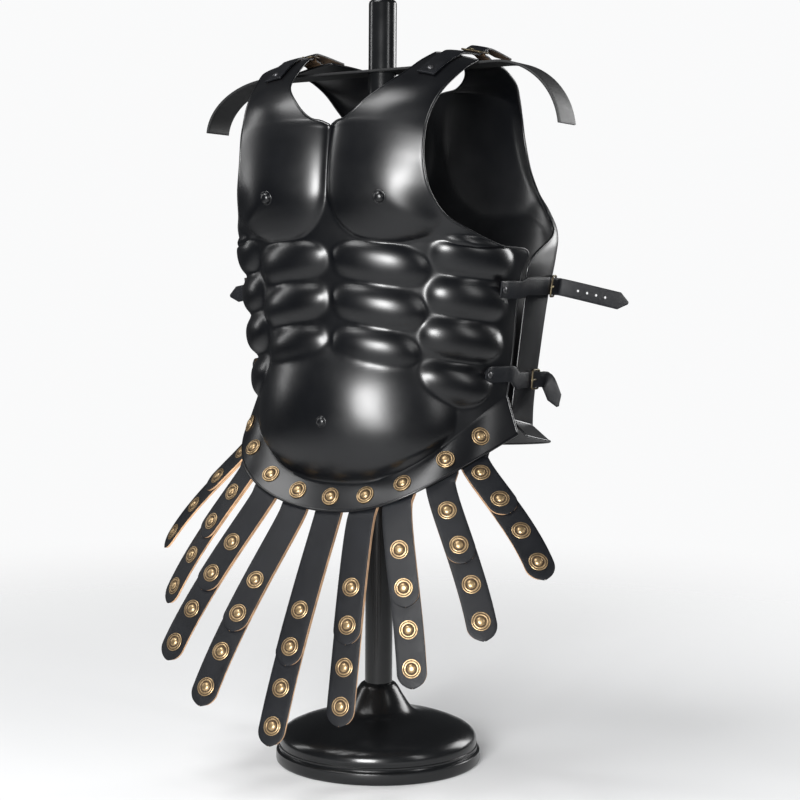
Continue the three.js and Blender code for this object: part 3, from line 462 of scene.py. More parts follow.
def turned(name, profile, segments, place=None, direction=None, wear=None):
    """A turned piece: a disc extruded and resized ring by ring up a profile of radius, height."""
    deselect()
    radius, height = profile[0]
    bpy.ops.mesh.primitive_circle_add(
        vertices=segments, radius=radius * MM, fill_type="NGON", location=(0, 0, height * MM))
    obj = bpy.context.object
    obj.name = name
    obj.data.name = name
    bpy.ops.object.transform_apply(location=True, rotation=True, scale=True)
    bpy.ops.object.mode_set(mode="EDIT")
    bpy.ops.mesh.select_all(action="SELECT")
    for (r0, z0), (r1, z1) in zip(profile, profile[1:]):
        bpy.ops.mesh.extrude_region_move(
            TRANSFORM_OT_translate={"value": (0, 0, (z1 - z0) * MM)})
        scale = max(r1, 0.02) / max(r0, 0.02)
        bpy.ops.transform.resize(value=(scale, scale, 1), center_override=(0, 0, z1 * MM))
    bpy.ops.mesh.select_all(action="SELECT")
    bpy.ops.mesh.normals_make_consistent(inside=False)
    bpy.ops.object.mode_set(mode="OBJECT")
    if wear is not None:
        radii = np.array([p[0] for p in profile])
        heights = np.array([p[1] for p in profile])
        values = np.asarray(wear, float)
        attribute = obj.data.attributes.new("wear", "FLOAT", "POINT")
        for v, vertex in enumerate(obj.data.vertices):
            r = math.hypot(vertex.co.x, vertex.co.y) / MM
            z = vertex.co.z / MM
            nearest = int(np.argmin((radii - r) ** 2 + (heights - z) ** 2))
            attribute.data[v].value = values[nearest]
    if direction is not None:
        turn = Vector((0, 0, 1)).rotation_difference(Vector(direction))
        obj.data.transform(turn.to_matrix().to_4x4())
    if place is not None:
        obj.data.transform(Matrix.Translation(Vector(place) * MM))
    return obj


def tube(name, points, radius, closed=False):
    """A round bar along a line of points, made as a bevelled curve and turned into a mesh."""
    deselect()
    curve = bpy.data.curves.new(name, "CURVE")
    curve.dimensions = "3D"
    spline = curve.splines.new("POLY")
    spline.points.add(len(points) - 1)
    for k, p in enumerate(points):
        spline.points[k].co = (*(np.asarray(p) * MM), 1)
    spline.use_cyclic_u = closed
    curve.bevel_depth = radius * MM
    curve.bevel_resolution = 3
    curve.use_fill_caps = True
    obj = bpy.data.objects.new(name, curve)
    bpy.context.scene.collection.objects.link(obj)
    activate(obj)
    bpy.ops.object.convert(target="MESH")
    return bpy.context.object


def centripetal(points, step):
    """A smooth line through points, sampled about every step."""
    points = np.asarray(points, float)
    padded = np.concatenate([[2 * points[0] - points[1]], points, [2 * points[-1] - points[-2]]])
    out = []
    for a, b, c, d in zip(padded, padded[1:], padded[2:], padded[3:]):
        gap = [max(np.linalg.norm(q - p), 1e-6) ** 0.5 for p, q in ((a, b), (b, c), (c, d))]
        t0, t1 = 0.0, gap[0]
        t2 = t1 + gap[1]
        t3 = t2 + gap[2]
        count = max(1, int(round(np.linalg.norm(c - b) / step)))
        t = np.linspace(t1, t2, count, endpoint=False)[:, None]
        a1 = (t1 - t) / (t1 - t0) * a + (t - t0) / (t1 - t0) * b
        a2 = (t2 - t) / (t2 - t1) * b + (t - t1) / (t2 - t1) * c
        a3 = (t3 - t) / (t3 - t2) * c + (t - t2) / (t3 - t2) * d
        b1 = (t2 - t) / (t2 - t0) * a1 + (t - t0) / (t2 - t0) * a2
        b2 = (t3 - t) / (t3 - t1) * a2 + (t - t1) / (t3 - t1) * a3
        out.append((t2 - t) / (t2 - t1) * b1 + (t - t1) / (t2 - t1) * b2)
    return np.concatenate(out + [points[-1:]])


def line_frames(line, across, distances, behind=0.0):
    """Places, width directions and outward directions at distances along a line."""
    total = lengths_of(line)[-1]
    distances = np.asarray(distances, float)
    place = along(line, distances)
    before = along(line, np.clip(distances - 3, 0, total))
    after = along(line, np.clip(distances + 3, 0, total))
    ahead = unit(after - before)
    across = np.asarray(across, float)
    width = unit(across[None] - (ahead @ across)[:, None] * ahead)
    off = unit(np.cross(ahead, width))
    return place - behind * off, width, off


def leather_ribbon(name, place, width, off, halves, columns=9, crown=0.5, side=1):
    """A band of leather: a grid along a line, a little crowned across, with soft edges."""
    share = np.linspace(side, -side, columns)
    rows = (place[:, None] + width[:, None] * (halves[:, None] * share[None])[..., None]
            + side * off[:, None] * (crown * (1 - share ** 2) - crown / 2)[None, :, None])
    obj = grid_sheet(name, rows)
    for _ in range(3):
        obj.data.materials.append(None)
    apply_modifier(obj, "SOLIDIFY", thickness=bpy.context.scene.cuirass_sizes.leather, offset=0,
                   use_even_offset=False, material_offset_rim=1, material_offset=2)
    apply_modifier(obj, "BEVEL", width=0.0003, segments=2, limit_method="ANGLE",
                   angle_limit=math.radians(50), harden_normals=False)
    smooth(obj, 50)
    return obj


# ------------------------------------------------------------------ finishes
def new_group(name, inputs, outputs):
    """A shader node group with named inputs and outputs."""
    group = bpy.data.node_groups.new(name, "ShaderNodeTree")
    for label, kind, value in inputs:
        socket = group.interface.new_socket(name=label, in_out="INPUT", socket_type=kind)
        if value is not None:
            socket.default_value = value
    for label, kind in outputs:
        group.interface.new_socket(name=label, in_out="OUTPUT", socket_type=kind)
    enter = group.nodes.new("NodeGroupInput")
    leave = group.nodes.new("NodeGroupOutput")
    return group, enter, leave


def noise(tree, vector, scale, detail=4.0, roughness=0.55):
    """A noise texture on a vector socket."""
    node = tree.nodes.new("ShaderNodeTexNoise")
    node.inputs["Scale"].default_value = scale
    node.inputs["Detail"].default_value = detail
    node.inputs["Roughness"].default_value = roughness
    tree.links.new(vector, node.inputs["Vector"])
    return node.outputs["Fac"]


def map_range(tree, value, low, high, to_low, to_high):
    """A clamped map of one range onto another."""
    node = tree.nodes.new("ShaderNodeMapRange")
    node.interpolation_type = "SMOOTHSTEP"
    for label, number in (("From Min", low), ("From Max", high)):
        node.inputs[label].default_value = number
    for label, number in (("To Min", to_low), ("To Max", to_high)):
        if isinstance(number, (int, float)):
            node.inputs[label].default_value = number
        else:
            tree.links.new(number, node.inputs[label])
    tree.links.new(value, node.inputs["Value"])
    return node.outputs["Result"]


def mix_colour(tree, factor, first, second):
    """A colour mix; each colour is a socket or a tuple."""
    node = tree.nodes.new("ShaderNodeMix")
    node.data_type = "RGBA"
    if isinstance(factor, (int, float)):
        node.inputs["Factor"].default_value = factor
    else:
        tree.links.new(factor, node.inputs["Factor"])
    for index, colour in ((6, first), (7, second)):
        if isinstance(colour, (tuple, list)):
            node.inputs[index].default_value = (*colour[:3], 1)
        else:
            tree.links.new(colour, node.inputs[index])
    return node.outputs[2]


def mottle_group():
    """Slow variation of a finish: handling marks and dust, shared by every material."""
    group, enter, leave = new_group(
        "Mottle", [("Size", "NodeSocketFloat", 12.0), ("Low", "NodeSocketFloat", 0.0),
                   ("High", "NodeSocketFloat", 1.0)],
        [("Value", "NodeSocketFloat")])
    coordinates = group.nodes.new("ShaderNodeTexCoord")
    node = group.nodes.new("ShaderNodeTexNoise")
    node.inputs["Detail"].default_value = 5.0
    group.links.new(coordinates.outputs["Object"], node.inputs["Vector"])
    group.links.new(enter.outputs["Size"], node.inputs["Scale"])
    ramp = group.nodes.new("ShaderNodeMapRange")
    ramp.inputs["From Min"].default_value = 0.3
    ramp.inputs["From Max"].default_value = 0.7
    group.links.new(node.outputs["Fac"], ramp.inputs["Value"])
    group.links.new(enter.outputs["Low"], ramp.inputs["To Min"])
    group.links.new(enter.outputs["High"], ramp.inputs["To Max"])
    group.links.new(ramp.outputs["Result"], leave.inputs["Value"])
    return group


def grain_group():
    """Leather grain: small cells with creases between them, as a height."""
    group, enter, leave = new_group(
        "Leather grain", [("Cells", "NodeSocketFloat", 900.0)], [("Height", "NodeSocketFloat")])
    coordinates = group.nodes.new("ShaderNodeTexCoord")
    cells = group.nodes.new("ShaderNodeTexVoronoi")
    cells.feature = "DISTANCE_TO_EDGE"
    group.links.new(coordinates.outputs["Object"], cells.inputs["Vector"])
    group.links.new(enter.outputs["Cells"], cells.inputs["Scale"])
    crease = map_range(group, cells.outputs["Distance"], 0.0, 0.25, 0.0, 1.0)
    group.links.new(crease, leave.inputs["Height"])
    return group


def material_base(name):
    """A node material with only its surface shader and output."""
    material = bpy.data.materials.new(name)
    material.use_nodes = True
    tree = material.node_tree
    shader = tree.nodes["Principled BSDF"]
    return material, tree, shader


def place_group(tree, group, **values):
    """A node group in a material, with its values set."""
    node = tree.nodes.new("ShaderNodeGroup")
    node.node_tree = group
    for label, value in values.items():
        node.inputs[label].default_value = value
    return node


def bump(tree, shader, height, strength, distance):
    """A bump that feeds the shader's normal."""
    node = tree.nodes.new("ShaderNodeBump")
    node.inputs["Strength"].default_value = strength
    node.inputs["Distance"].default_value = distance
    tree.links.new(height, node.inputs["Height"])
    tree.links.new(node.outputs["Normal"], shader.inputs["Normal"])


def steel_paint(name, colours, mottle, smoother, rougher, sheen):
    """Black paint over beaten steel, satin outside and flatter inside."""
    material, tree, shader = material_base(name)
    slow = place_group(tree, mottle, Size=9.0, Low=0.0, High=1.0)
    base = tuple(colours.steel)
    tint = mix_colour(tree, slow.outputs["Value"], tuple(0.7 * c for c in base),
                      tuple(1.2 * c for c in base))
    tree.links.new(tint, shader.inputs["Base Color"])
    rough = place_group(tree, mottle, Size=24.0, Low=smoother, High=rougher)
    tree.links.new(rough.outputs["Value"], shader.inputs["Roughness"])
    shader.inputs["Specular IOR Level"].default_value = sheen
    coordinates = tree.nodes.new("ShaderNodeTexCoord")
    skin = noise(tree, coordinates.outputs["Object"], 380.0, 2.0)
    bump(tree, shader, skin, 0.035, 0.0003)
    return material


def leather_grain_side(colours, mottle, grain):
    """The black grain side of the leather."""
    material, tree, shader = material_base("Black leather")
    slow = place_group(tree, mottle, Size=30.0, Low=0.0, High=1.0)
    base = tuple(colours.leather)
    tint = mix_colour(tree, slow.outputs["Value"], base, tuple(1.7 * c for c in base))
    tree.links.new(tint, shader.inputs["Base Color"])
    rough = place_group(tree, mottle, Size=60.0, Low=0.38, High=0.5)
    tree.links.new(rough.outputs["Value"], shader.inputs["Roughness"])
    shader.inputs["Specular IOR Level"].default_value = 0.22
    cells = place_group(tree, grain, Cells=1100.0)
    bump(tree, shader, cells.outputs["Height"], 0.28, 0.0003)
    return material


def leather_raw(name, colour, mottle):
    """Cut edges and flesh side of the leather."""
    material, tree, shader = material_base(name)
    slow = place_group(tree, mottle, Size=70.0, Low=0.0, High=1.0)
    tint = mix_colour(tree, slow.outputs["Value"], tuple(0.55 * c for c in colour),
                      tuple(1.15 * c for c in colour))
    tree.links.new(tint, shader.inputs["Base Color"])
    shader.inputs["Roughness"].default_value = 0.8
    coordinates = tree.nodes.new("ShaderNodeTexCoord")
    fibre = noise(tree, coordinates.outputs["Object"], 700.0, 3.0)
    bump(tree, shader, fibre, 0.35, 0.0004)
    return material


def worn_metal(name, bright, dark, mottle):
    """Metal that is dark in the hollows and rubbed bright on what stands out."""
    material, tree, shader = material_base(name)
    wear = tree.nodes.new("ShaderNodeAttribute")
    wear.attribute_name = "wear"
    slow = place_group(tree, mottle, Size=160.0, Low=-0.25, High=0.25)
    total = tree.nodes.new("ShaderNodeMath")
    total.operation = "ADD"
    tree.links.new(wear.outputs["Fac"], total.inputs[0])
    tree.links.new(slow.outputs["Value"], total.inputs[1])
    rubbed = map_range(tree, total.outputs["Value"], 0.1, 0.95, 0.0, 1.0)
    tint = mix_colour(tree, rubbed, dark, bright)
    tree.links.new(tint, shader.inputs["Base Color"])
    shader.inputs["Metallic"].default_value = 0.85
    rough = map_range(tree, total.outputs["Value"], 0.1, 0.95, 0.6, 0.36)
    tree.links.new(rough, shader.inputs["Roughness"])
    coordinates = tree.nodes.new("ShaderNodeTexCoord")
    pits = noise(tree, coordinates.outputs["Object"], 900.0, 3.0)
    bump(tree, shader, pits, 0.12, 0.0003)
    return material


def stand_enamel(name, colours, mottle, smoother, rougher):
    """Black enamel of the stand."""
    material, tree, shader = material_base(name)
    slow = place_group(tree, mottle, Size=14.0, Low=0.0, High=1.0)
    base = tuple(colours.enamel)
    tint = mix_colour(tree, slow.outputs["Value"], base, tuple(1.5 * c for c in base))
    tree.links.new(tint, shader.inputs["Base Color"])
    rough = place_group(tree, mottle, Size=40.0, Low=smoother, High=rougher)
    tree.links.new(rough.outputs["Value"], shader.inputs["Roughness"])
    shader.inputs["Specular IOR Level"].default_value = 0.42
    coordinates = tree.nodes.new("ShaderNodeTexCoord")
    skin = noise(tree, coordinates.outputs["Object"], 260.0, 2.0)
    bump(tree, shader, skin, 0.03, 0.0004)
    return material


def backdrop_paint(colours, mottle):
    """Matt pale floor that fades into the room at its edge."""
    material, tree, shader = material_base("Pale floor")
    slow = place_group(tree, mottle, Size=1.5, Low=0.0, High=1.0)
    base = tuple(colours.floor)
    tint = mix_colour(tree, slow.outputs["Value"], tuple(0.985 * c for c in base), base)
    tree.links.new(tint, shader.inputs["Base Color"])
    shader.inputs["Roughness"].default_value = 0.9
    coordinates = tree.nodes.new("ShaderNodeTexCoord")
    length = tree.nodes.new("ShaderNodeVectorMath")
    length.operation = "LENGTH"
    tree.links.new(coordinates.outputs["Object"], length.inputs[0])
    seen = map_range(tree, length.outputs["Value"], 0.25, FLOOR_RADIUS * MM * 0.6, 1.0, 0.0)
    tree.links.new(seen, shader.inputs["Alpha"])
    return material


FINISHES = {}


def make_finishes():
    """Builds every material once."""
    colours = bpy.context.scene.cuirass_colours
    mottle = mottle_group()
    grain = grain_group()
    raw = tuple(colours.raw_edge)
    FINISHES["steel"] = steel_paint("Satin black steel", colours, mottle, 0.28, 0.35, 0.5)
    FINISHES["inside"] = steel_paint("Flat black inside", colours, mottle, 0.5, 0.6, 0.3)
    FINISHES["leather"] = leather_grain_side(colours, mottle, grain)
    FINISHES["edge"] = leather_raw("Raw leather edge", raw, mottle)
    FINISHES["flesh"] = leather_raw("Leather flesh side", tuple(0.3 * c for c in raw), mottle)
    brass, hollows = tuple(colours.brass), tuple(colours.brass_dark)
    FINISHES["brass"] = worn_metal("Antique brass", brass, hollows, mottle)
    FINISHES["buckle"] = worn_metal("Darkened brass", (0.17, 0.145, 0.085),
                                    tuple(0.65 * c for c in hollows), mottle)
    FINISHES["rivet"] = worn_metal("Blackened rivets", (0.10, 0.10, 0.105),
                                   (0.028, 0.028, 0.03), mottle)
    FINISHES["enamel"] = stand_enamel("Gloss black enamel", colours, mottle, 0.2, 0.26)
    FINISHES["bar"] = stand_enamel("Satin black enamel", colours, mottle, 0.5, 0.58)
    FINISHES["floor"] = backdrop_paint(colours, mottle)


LEATHERS = ("leather", "edge", "flesh")


# ------------------------------------------------------------------ plates
def full_sheet(name, half, outward):
    """Both halves of a plate as one sheet, open above the notch."""
    left = half[:, ::-1].copy()
    left[..., 0] *= -1
    rows = np.concatenate([left, half], axis=1)
    if outward < 0:
        rows = rows[:, ::-1]
    obj = grid_sheet(name, rows)
    across = 2 * half.shape[1] - 1
    for part in (obj.data.vertices, obj.data.edges, obj.data.polygons):
        part.foreach_set("select", [False] * len(part))
    for face in obj.data.polygons:
        face.select = face.index % across == across // 2
    bpy.ops.object.mode_set(mode="EDIT")
    bpy.ops.mesh.select_mode(type="FACE")
    bpy.ops.mesh.delete(type="FACE")
    bpy.ops.mesh.select_all(action="SELECT")
    bpy.ops.mesh.remove_doubles(threshold=1e-6)
    bpy.ops.object.mode_set(mode="OBJECT")
    return obj


def rolled_rim(sheet, radius):
    """A round bead along every free edge of a sheet."""
    activate(sheet)
    bpy.ops.object.mode_set(mode="EDIT")
    bpy.ops.mesh.select_mode(type="EDGE")
    bpy.ops.mesh.select_all(action="DESELECT")
    bpy.ops.mesh.select_non_manifold()
    bpy.ops.mesh.duplicate()
    bpy.ops.mesh.separate(type="SELECTED")
    bpy.ops.object.mode_set(mode="OBJECT")
    bead = [o for o in bpy.context.selected_objects if o is not sheet][0]
    activate(bead)
    bpy.ops.object.convert(target="CURVE")
    bead = bpy.context.object
    bead.data.bevel_depth = radius
    bead.data.bevel_resolution = 2
    bpy.ops.object.convert(target="MESH")
    return bpy.context.object


def surface_point(rows, x, z):
    """The place and outward direction of a plate at a place seen from the front."""
    distance = np.hypot(rows[..., 0] - x, rows[..., 2] - z)
    j, i = np.unravel_index(np.argmin(distance), distance.shape)
    normals = grid_normals(rows)
    normal = normals[j, i].copy()
    if x < 1e-6:
        normal[0] = 0
    return rows[j, i].copy(), unit(normal)


def make_plate(name, half, outward, extras=()):
    """A plate: its sheet with a wall, its rolled rim and what is raised on it."""
    sizes = bpy.context.scene.cuirass_sizes
    sheet = full_sheet(name, half, outward)
    bead = rolled_rim(sheet, sizes.rim / 2)
    for _ in range(2):
        sheet.data.materials.append(None)
    apply_modifier(sheet, "SOLIDIFY", thickness=sizes.steel, offset=0, use_even_offset=False,
                   material_offset=1)
    piece = join_all(name, [sheet, bead, *extras])
    smooth(piece, 60)
    return piece


class CUIRASS_OT_breastplate(bpy.types.Operator):
    """Makes the breastplate with its muscles, flange and rolled rim"""
    bl_idname = "cuirass.breastplate"
    bl_label = "Breastplate"

    def execute(self, context):
        extras = []
        for label, x, z, radius, height in BOSSES:
            place, normal = surface_point(FRONT_GRID, abs(x), z)
            if x < 0:
                place[0] *= -1
                normal[0] *= -1
            profile = [(radius, -1.5), (radius, 0.5), (radius * 0.94, 1.1),
                       (radius * 0.84, 1.3), (radius * 0.8, 1.2), (radius * 0.76, height * 0.4),
                       (radius * 0.64, height * 0.7), (radius * 0.42, height * 0.9),
                       (radius * 0.2, height * 0.98), (0, height)]
            extras.append(turned(label, profile, 32, place, normal))
        piece = make_plate("breastplate_steel", FRONT_GRID, 1, extras)
        finish_piece(piece, [FINISHES["steel"], FINISHES["inside"]], "black_steel", "breastplate")
        return {"FINISHED"}


class CUIRASS_OT_backplate(bpy.types.Operator):
    """Makes the backplate with its flared lower edge"""
    bl_idname = "cuirass.backplate"
    bl_label = "Backplate"

    def execute(self, context):
        piece = make_plate("backplate_steel", BACK_GRID, -1)
        finish_piece(piece, [FINISHES["steel"], FINISHES["inside"]], "black_steel", "backplate")
        return {"FINISHED"}


# ------------------------------------------------------------------ rosettes
# radius share | height share | wear
ROSETTE_PROFILE = (
    (1.00, -0.20, 0.5), (1.00, 0.18, 0.6), (0.97, 0.27, 0.9), (0.92, 0.30, 0.8), (0.86, 0.22, 0.1),
    (0.81, 0.22, 0.1), (0.76, 0.36, 0.8), (0.70, 0.40, 0.9), (0.63, 0.34, 0.4), (0.57, 0.24, 0.0),
    (0.52, 0.24, 0.0), (0.46, 0.46, 0.6), (0.40, 0.70, 0.9), (0.30, 0.90, 1.0), (0.16, 0.99, 1.0),
    (0.00, 1.00, 1.0),
)


def rosette(name, place, off, height=3.2, segments=28):
    """A cast rosette: rings round a domed middle."""
    radius = bpy.context.scene.cuirass_sizes.rosette / MM
    profile = [(r * radius, h * height) for r, h, _ in ROSETTE_PROFILE]
    obj = turned(name, profile, segments, place, off, [w for _, _, w in ROSETTE_PROFILE])
    smooth(obj, 50)
    return obj


def on_flange(x, share):
    """A place on the flange: across, and 0 at the root to 1 at the rim."""
    line = FLANGE_ROOT_LINE * (1 - share) + FLANGE_RIM_LINE * share
    reach = abs(x)
    place = np.array([np.interp(reach, line[:, 0], line[:, k]) for k in range(3)])
    if x < 0:
        place[0] *= -1
    return place


def flange_frame(x):
    """Middle, downward, across and outward directions of the flange at a place across."""
    middle = on_flange(x, 0.5)
    down = unit(on_flange(x, 1) - on_flange(x, 0))
    across = unit(on_flange(x + 2, 0.5) - on_flange(x - 2, 0.5))
    off = unit(np.cross(across, down))
    if off[1] > 0:
        off = -off
    return middle, down, across, off


class CUIRASS_OT_flange_rosettes(bpy.types.Operator):
    """Makes the nine rosettes that hold the strips to the flange"""
    bl_idname = "cuirass.flange_rosettes"
    bl_label = "Flange rosettes"

    def execute(self, context):
        for number, x, *_ in STRIPS:
            middle, _, _, off = flange_frame(x)
            piece = rosette(f"rosette_{number}", middle + off * 1.6, off)
            finish_piece(piece, [FINISHES["brass"]], "antique_brass", f"flange_rosette_{number}")
        return {"FINISHED"}


# ------------------------------------------------------------------ strips
def strip_line(x, bearing, slope, length, depth):
    """The line a strip hangs along, from behind the flange to its tip."""
    middle, down, across, off = flange_frame(x)
    b, s = math.radians(bearing), math.radians(slope)
    heading = np.array([math.sin(b) * math.cos(s), -math.cos(b) * math.cos(s), -math.sin(s)])
    start = middle - depth * off
    rim_end = start + STRIP_PAST_RIM * down
    tip = middle + length * heading - depth * off
    reach = np.linalg.norm(tip - rim_end)
    hanging = unit(heading + np.array([0, 0, -STRIP_DROOP]))
    p1 = rim_end + down * reach * 0.1
    p2 = tip - hanging * reach * 0.4
    t = np.linspace(0, 1, 61)[:, None]
    bend = ((1 - t) ** 3 * rim_end + 3 * (1 - t) ** 2 * t * p1 + 3 * (1 - t) * t * t * p2
            + t ** 3 * tip)
    return np.concatenate([[start - STRIP_TOP * down, start], bend]), across


def strip_piece(name, line, across, length, behind):
    """One hanging strip with a round end and its two rosettes."""
    half = bpy.context.scene.cuirass_sizes.strip_width / MM / 2
    straight = np.arange(0, length - half, 4.0)
    angle = np.linspace(0, math.pi / 2, 14)
    ends = length - half + half * np.sin(angle)
    distances = np.concatenate([straight, ends])
    halves = np.concatenate([np.full(len(straight), half), half * np.cos(angle)])
    halves = np.maximum(halves, 0.6)
    halves[distances < 20] *= 0.7 + 0.3 * distances[distances < 20] / 20
    place, width, off = line_frames(line, across, distances, behind)
    leather = leather_ribbon(name, place, width, off, halves)
    feet, _, offs = line_frames(line, across, [length - d for d in STRIP_STUDS], behind)
    lift = bpy.context.scene.cuirass_sizes.leather / MM / 2 + 0.25
    studs = [rosette(f"{name}_stud_{k}", foot + lift * o, o, 3.0, 24)
             for k, (foot, o) in enumerate(zip(feet, offs))]
    return leather, studs


class CUIRASS_OT_strips(bpy.types.Operator):
    """Makes the nine pairs of hanging leather strips with their rosettes"""
    bl_idname = "cuirass.strips"
    bl_label = "Hanging strips"

    def execute(self, context):
        layer = context.scene.cuirass_sizes.leather / MM + 0.4
        for number, x, bearing, slope, length, depth in STRIPS:
            line, across = strip_line(x, bearing, slope, length, depth)
            total = lengths_of(line)[-1]
            for kind, end, behind in (("short", SHORT_END, 0.0), ("long", 0.0, layer)):
                name = f"{kind}_strip_{number}"
                leather, studs = strip_piece(
                    f"{kind}_leather_{number}", line, across, total - end, behind)
                materials = [FINISHES[k] for k in LEATHERS]
                finish_piece(leather, materials, "black_leather", name)
                pair = join_all(f"{kind}_strip_rosettes_{number}", studs)
                finish_piece(pair, [FINISHES["brass"]], "antique_brass", name)
        return {"FINISHED"}


# ------------------------------------------------------------------ straps, buckles and holders
def outline_at(rows, z):
    """The outline of half a plate at one height, from the centre outwards."""
    line = []
    for column in range(rows.shape[1]):
        points = rows[FLANGE_ROWS:, column]
        crossing = np.nonzero((points[:-1, 2] - z) * (points[1:, 2] - z) <= 0)[0]
        if len(crossing):
            a, b = points[crossing[0]], points[crossing[0] + 1]
            line.append(a + (b - a) * (z - a[2]) / max(b[2] - a[2], 1e-9))
    return np.array(line)


def band_outline(rows, z, half):
    """The outline of half a plate, let out to clear a strap's whole width."""
    lines = [outline_at(rows, z + dz) for dz in (-half, 0, half)]
    count = min(len(line) for line in lines)
    radii = np.stack([np.hypot(line[:count, 0], line[:count, 1]) for line in lines])
    middle = lines[1][:count].copy()
    scale = (0.65 * radii[1] + 0.35 * radii.max(0)) / radii[1]
    middle[:, :2] *= scale[:, None]
    return middle


def cut_at(line, y):
    """A line that starts where it passes a y."""
    i = int(np.nonzero(line[:, 1] > y)[0][0])
    t = (y - line[i - 1, 1]) / (line[i, 1] - line[i - 1, 1])
    return np.concatenate([[line[i - 1] * (1 - t) + line[i] * t], line[i:]])


def lifted(line, across, heights, outward):
    """A line lifted off its plate by a height at each point."""
    ahead = np.gradient(line, axis=0)
    normal = unit(np.cross(ahead, across))
    normal = np.where((normal @ outward)[:, None] < 0, -normal, normal)
    return line + normal * np.asarray(heights)[:, None]


def spaced(line, step):
    """The same line with points an even step apart."""
    total = lengths_of(line)[-1]
    return along(line, np.linspace(0, total, max(2, int(round(total / step)) + 1)))


def strap_leather(name, line, across, width, round_start, outward):
    """A strap with a squared or rounded riveted end and a pointed tail."""
    total = lengths_of(line)[-1]
    distances = np.concatenate([np.arange(0, total - TAIL_POINT, 3.0),
                                total - TAIL_POINT + np.linspace(0, TAIL_POINT, 5)])
    halves = np.full(len(distances), width / 2.0)
    from_tip = total - distances
    point = from_tip < TAIL_POINT
    halves[point] = width / 2 * (0.14 + 0.86 * from_tip[point] / TAIL_POINT)
    if round_start:
        near = distances < width / 2
        halves[near] = np.sqrt(np.maximum((width / 2) ** 2 - (width / 2 - distances[near]) ** 2,
                                          (0.45 * width / 2) ** 2))
    place, side, off = line_frames(line, across, distances)
    facing = 1 if off[0] @ outward > 0 else -1
    return leather_ribbon(name, place, side, off, halves, columns=7, crown=0.4, side=facing)


def punch(obj, line, across, distances):
    """Cuts the tail's round holes."""
    total = lengths_of(line)[-1]
    places, _, offs = line_frames(line, across, [total - d for d in distances])
    for place, off in zip(places, offs):
        deselect()
        bpy.ops.mesh.primitive_cylinder_add(vertices=20, radius=1.7 * MM, depth=9 * MM)
        tool = bpy.context.object
        tool.matrix_world = (Matrix.Translation(Vector(place) * MM)
                             @ Vector((0, 0, 1)).rotation_difference(Vector(off))
                             .to_matrix().to_4x4())
        activate(tool)
        bpy.ops.object.transform_apply(location=True, rotation=True, scale=True)
        apply_modifier(obj, "BOOLEAN", operation="DIFFERENCE", object=tool, solver="EXACT")
        bpy.data.objects.remove(tool)


RIVET_PROFILE = ((4.0, -0.6), (4.0, 0.3), (3.7, 0.8), (2.8, 1.3), (1.5, 1.6), (0, 1.7))


def rivet(name, place, off):
    """A small domed rivet."""
    obj = turned(name, RIVET_PROFILE, 20, place, off, (0.3, 0.4, 0.7, 0.9, 1.0, 1.0))
    smooth(obj, 60)
    return obj


def buckle_piece(name, width, origin, along_way, off):
    """A wire frame with rounded corners and its prong."""
    across = unit(np.cross(off, along_way))

    def world(e, w, n):
        return origin + along_way * e + across * w + off * n

    inside = width / 2 + 0.8 + BAR / 2
    reach = FRAME_HALF - BAR / 2
    corner = 3.0
    outline = []
    for sx, sy, start in ((1, 1, 0), (-1, 1, 90), (-1, -1, 180), (1, -1, 270)):
        for step in range(7):
            angle = math.radians(start + 15 * step)
            outline.append(world(sx * (reach - corner) + corner * math.cos(angle),
                                 sy * (inside - corner) + corner * math.sin(angle),
                                 FRAME_HEIGHT))
    ring = tube(name, outline, BAR / 2 + 0.1, closed=True)
    line = [world(e, 0, n) for e, n in
            ((9.8, 6.9), (7.5, 7.0), (4, 6.3), (0, 6.3), (-4, 6.8), (-8, 7.5), (-11.3, 7.2))]
    prong = tube(f"{name}_prong", centripetal(line, 1.5), 1.1)
    eye = tube(f"{name}_eye", [world(9.8, w, FRAME_HEIGHT) for w in (-1.6, 1.6)], 2.0)
    obj = join_all(name, [ring, prong, eye])
    smooth(obj, 60)
    attribute = obj.data.attributes.new("wear", "FLOAT", "POINT")
    heights = np.array([(np.array(v.co) / MM - origin) @ off for v in obj.data.vertices])
    values = np.clip((heights - FRAME_HEIGHT + 1.2) / 4.0, 0.1, 0.6).astype(np.float32)
    attribute.data.foreach_set("value", values)
    return obj


def holder_piece(name, line, width, origin, along_way, off):
    """The leather loop round the heel bar and its riveted tab."""
    across = unit(np.cross(off, along_way))
    heel = FRAME_HALF - BAR / 2
    loop = []
    for step in range(0, 15):
        angle = math.radians(250 - 240 * step / 14)
        loop.append(origin + along_way * (heel + 3.1 * math.cos(angle))
                    + off * (FRAME_HEIGHT + 3.1 * math.sin(angle)))
    tab = spaced(line, 4.0)[1:][::-1]
    path = centripetal(np.concatenate([tab, loop]), 1.6)
    total = lengths_of(path)[-1]
    distances = np.linspace(0, total, int(total / 1.6))
    halves = np.full(len(distances), width / 2 - 1.2)
    near = distances < 6
    halves[near] *= 0.6 + 0.4 * distances[near] / 6
    place, side, outs = line_frames(path, across, distances)
    facing = 1 if outs[1] @ off > 0 else -1
    return leather_ribbon(name, place, side, outs, halves, columns=5, crown=0.2, side=facing)


def mirror_copy(obj, name):
    """A copy of a piece mirrored to the wearer's right, with its own mesh."""
    activate(obj)
    bpy.ops.object.duplicate()
    copy = bpy.context.object
    copy.name = name
    copy.data.name = name
    copy.scale = (-1, 1, 1)
    bpy.ops.object.transform_apply(location=True, rotation=True, scale=True)
    bpy.ops.object.mode_set(mode="EDIT")
    bpy.ops.mesh.select_all(action="SELECT")
    bpy.ops.mesh.normals_make_consistent(inside=False)
    bpy.ops.object.mode_set(mode="OBJECT")
    return copy


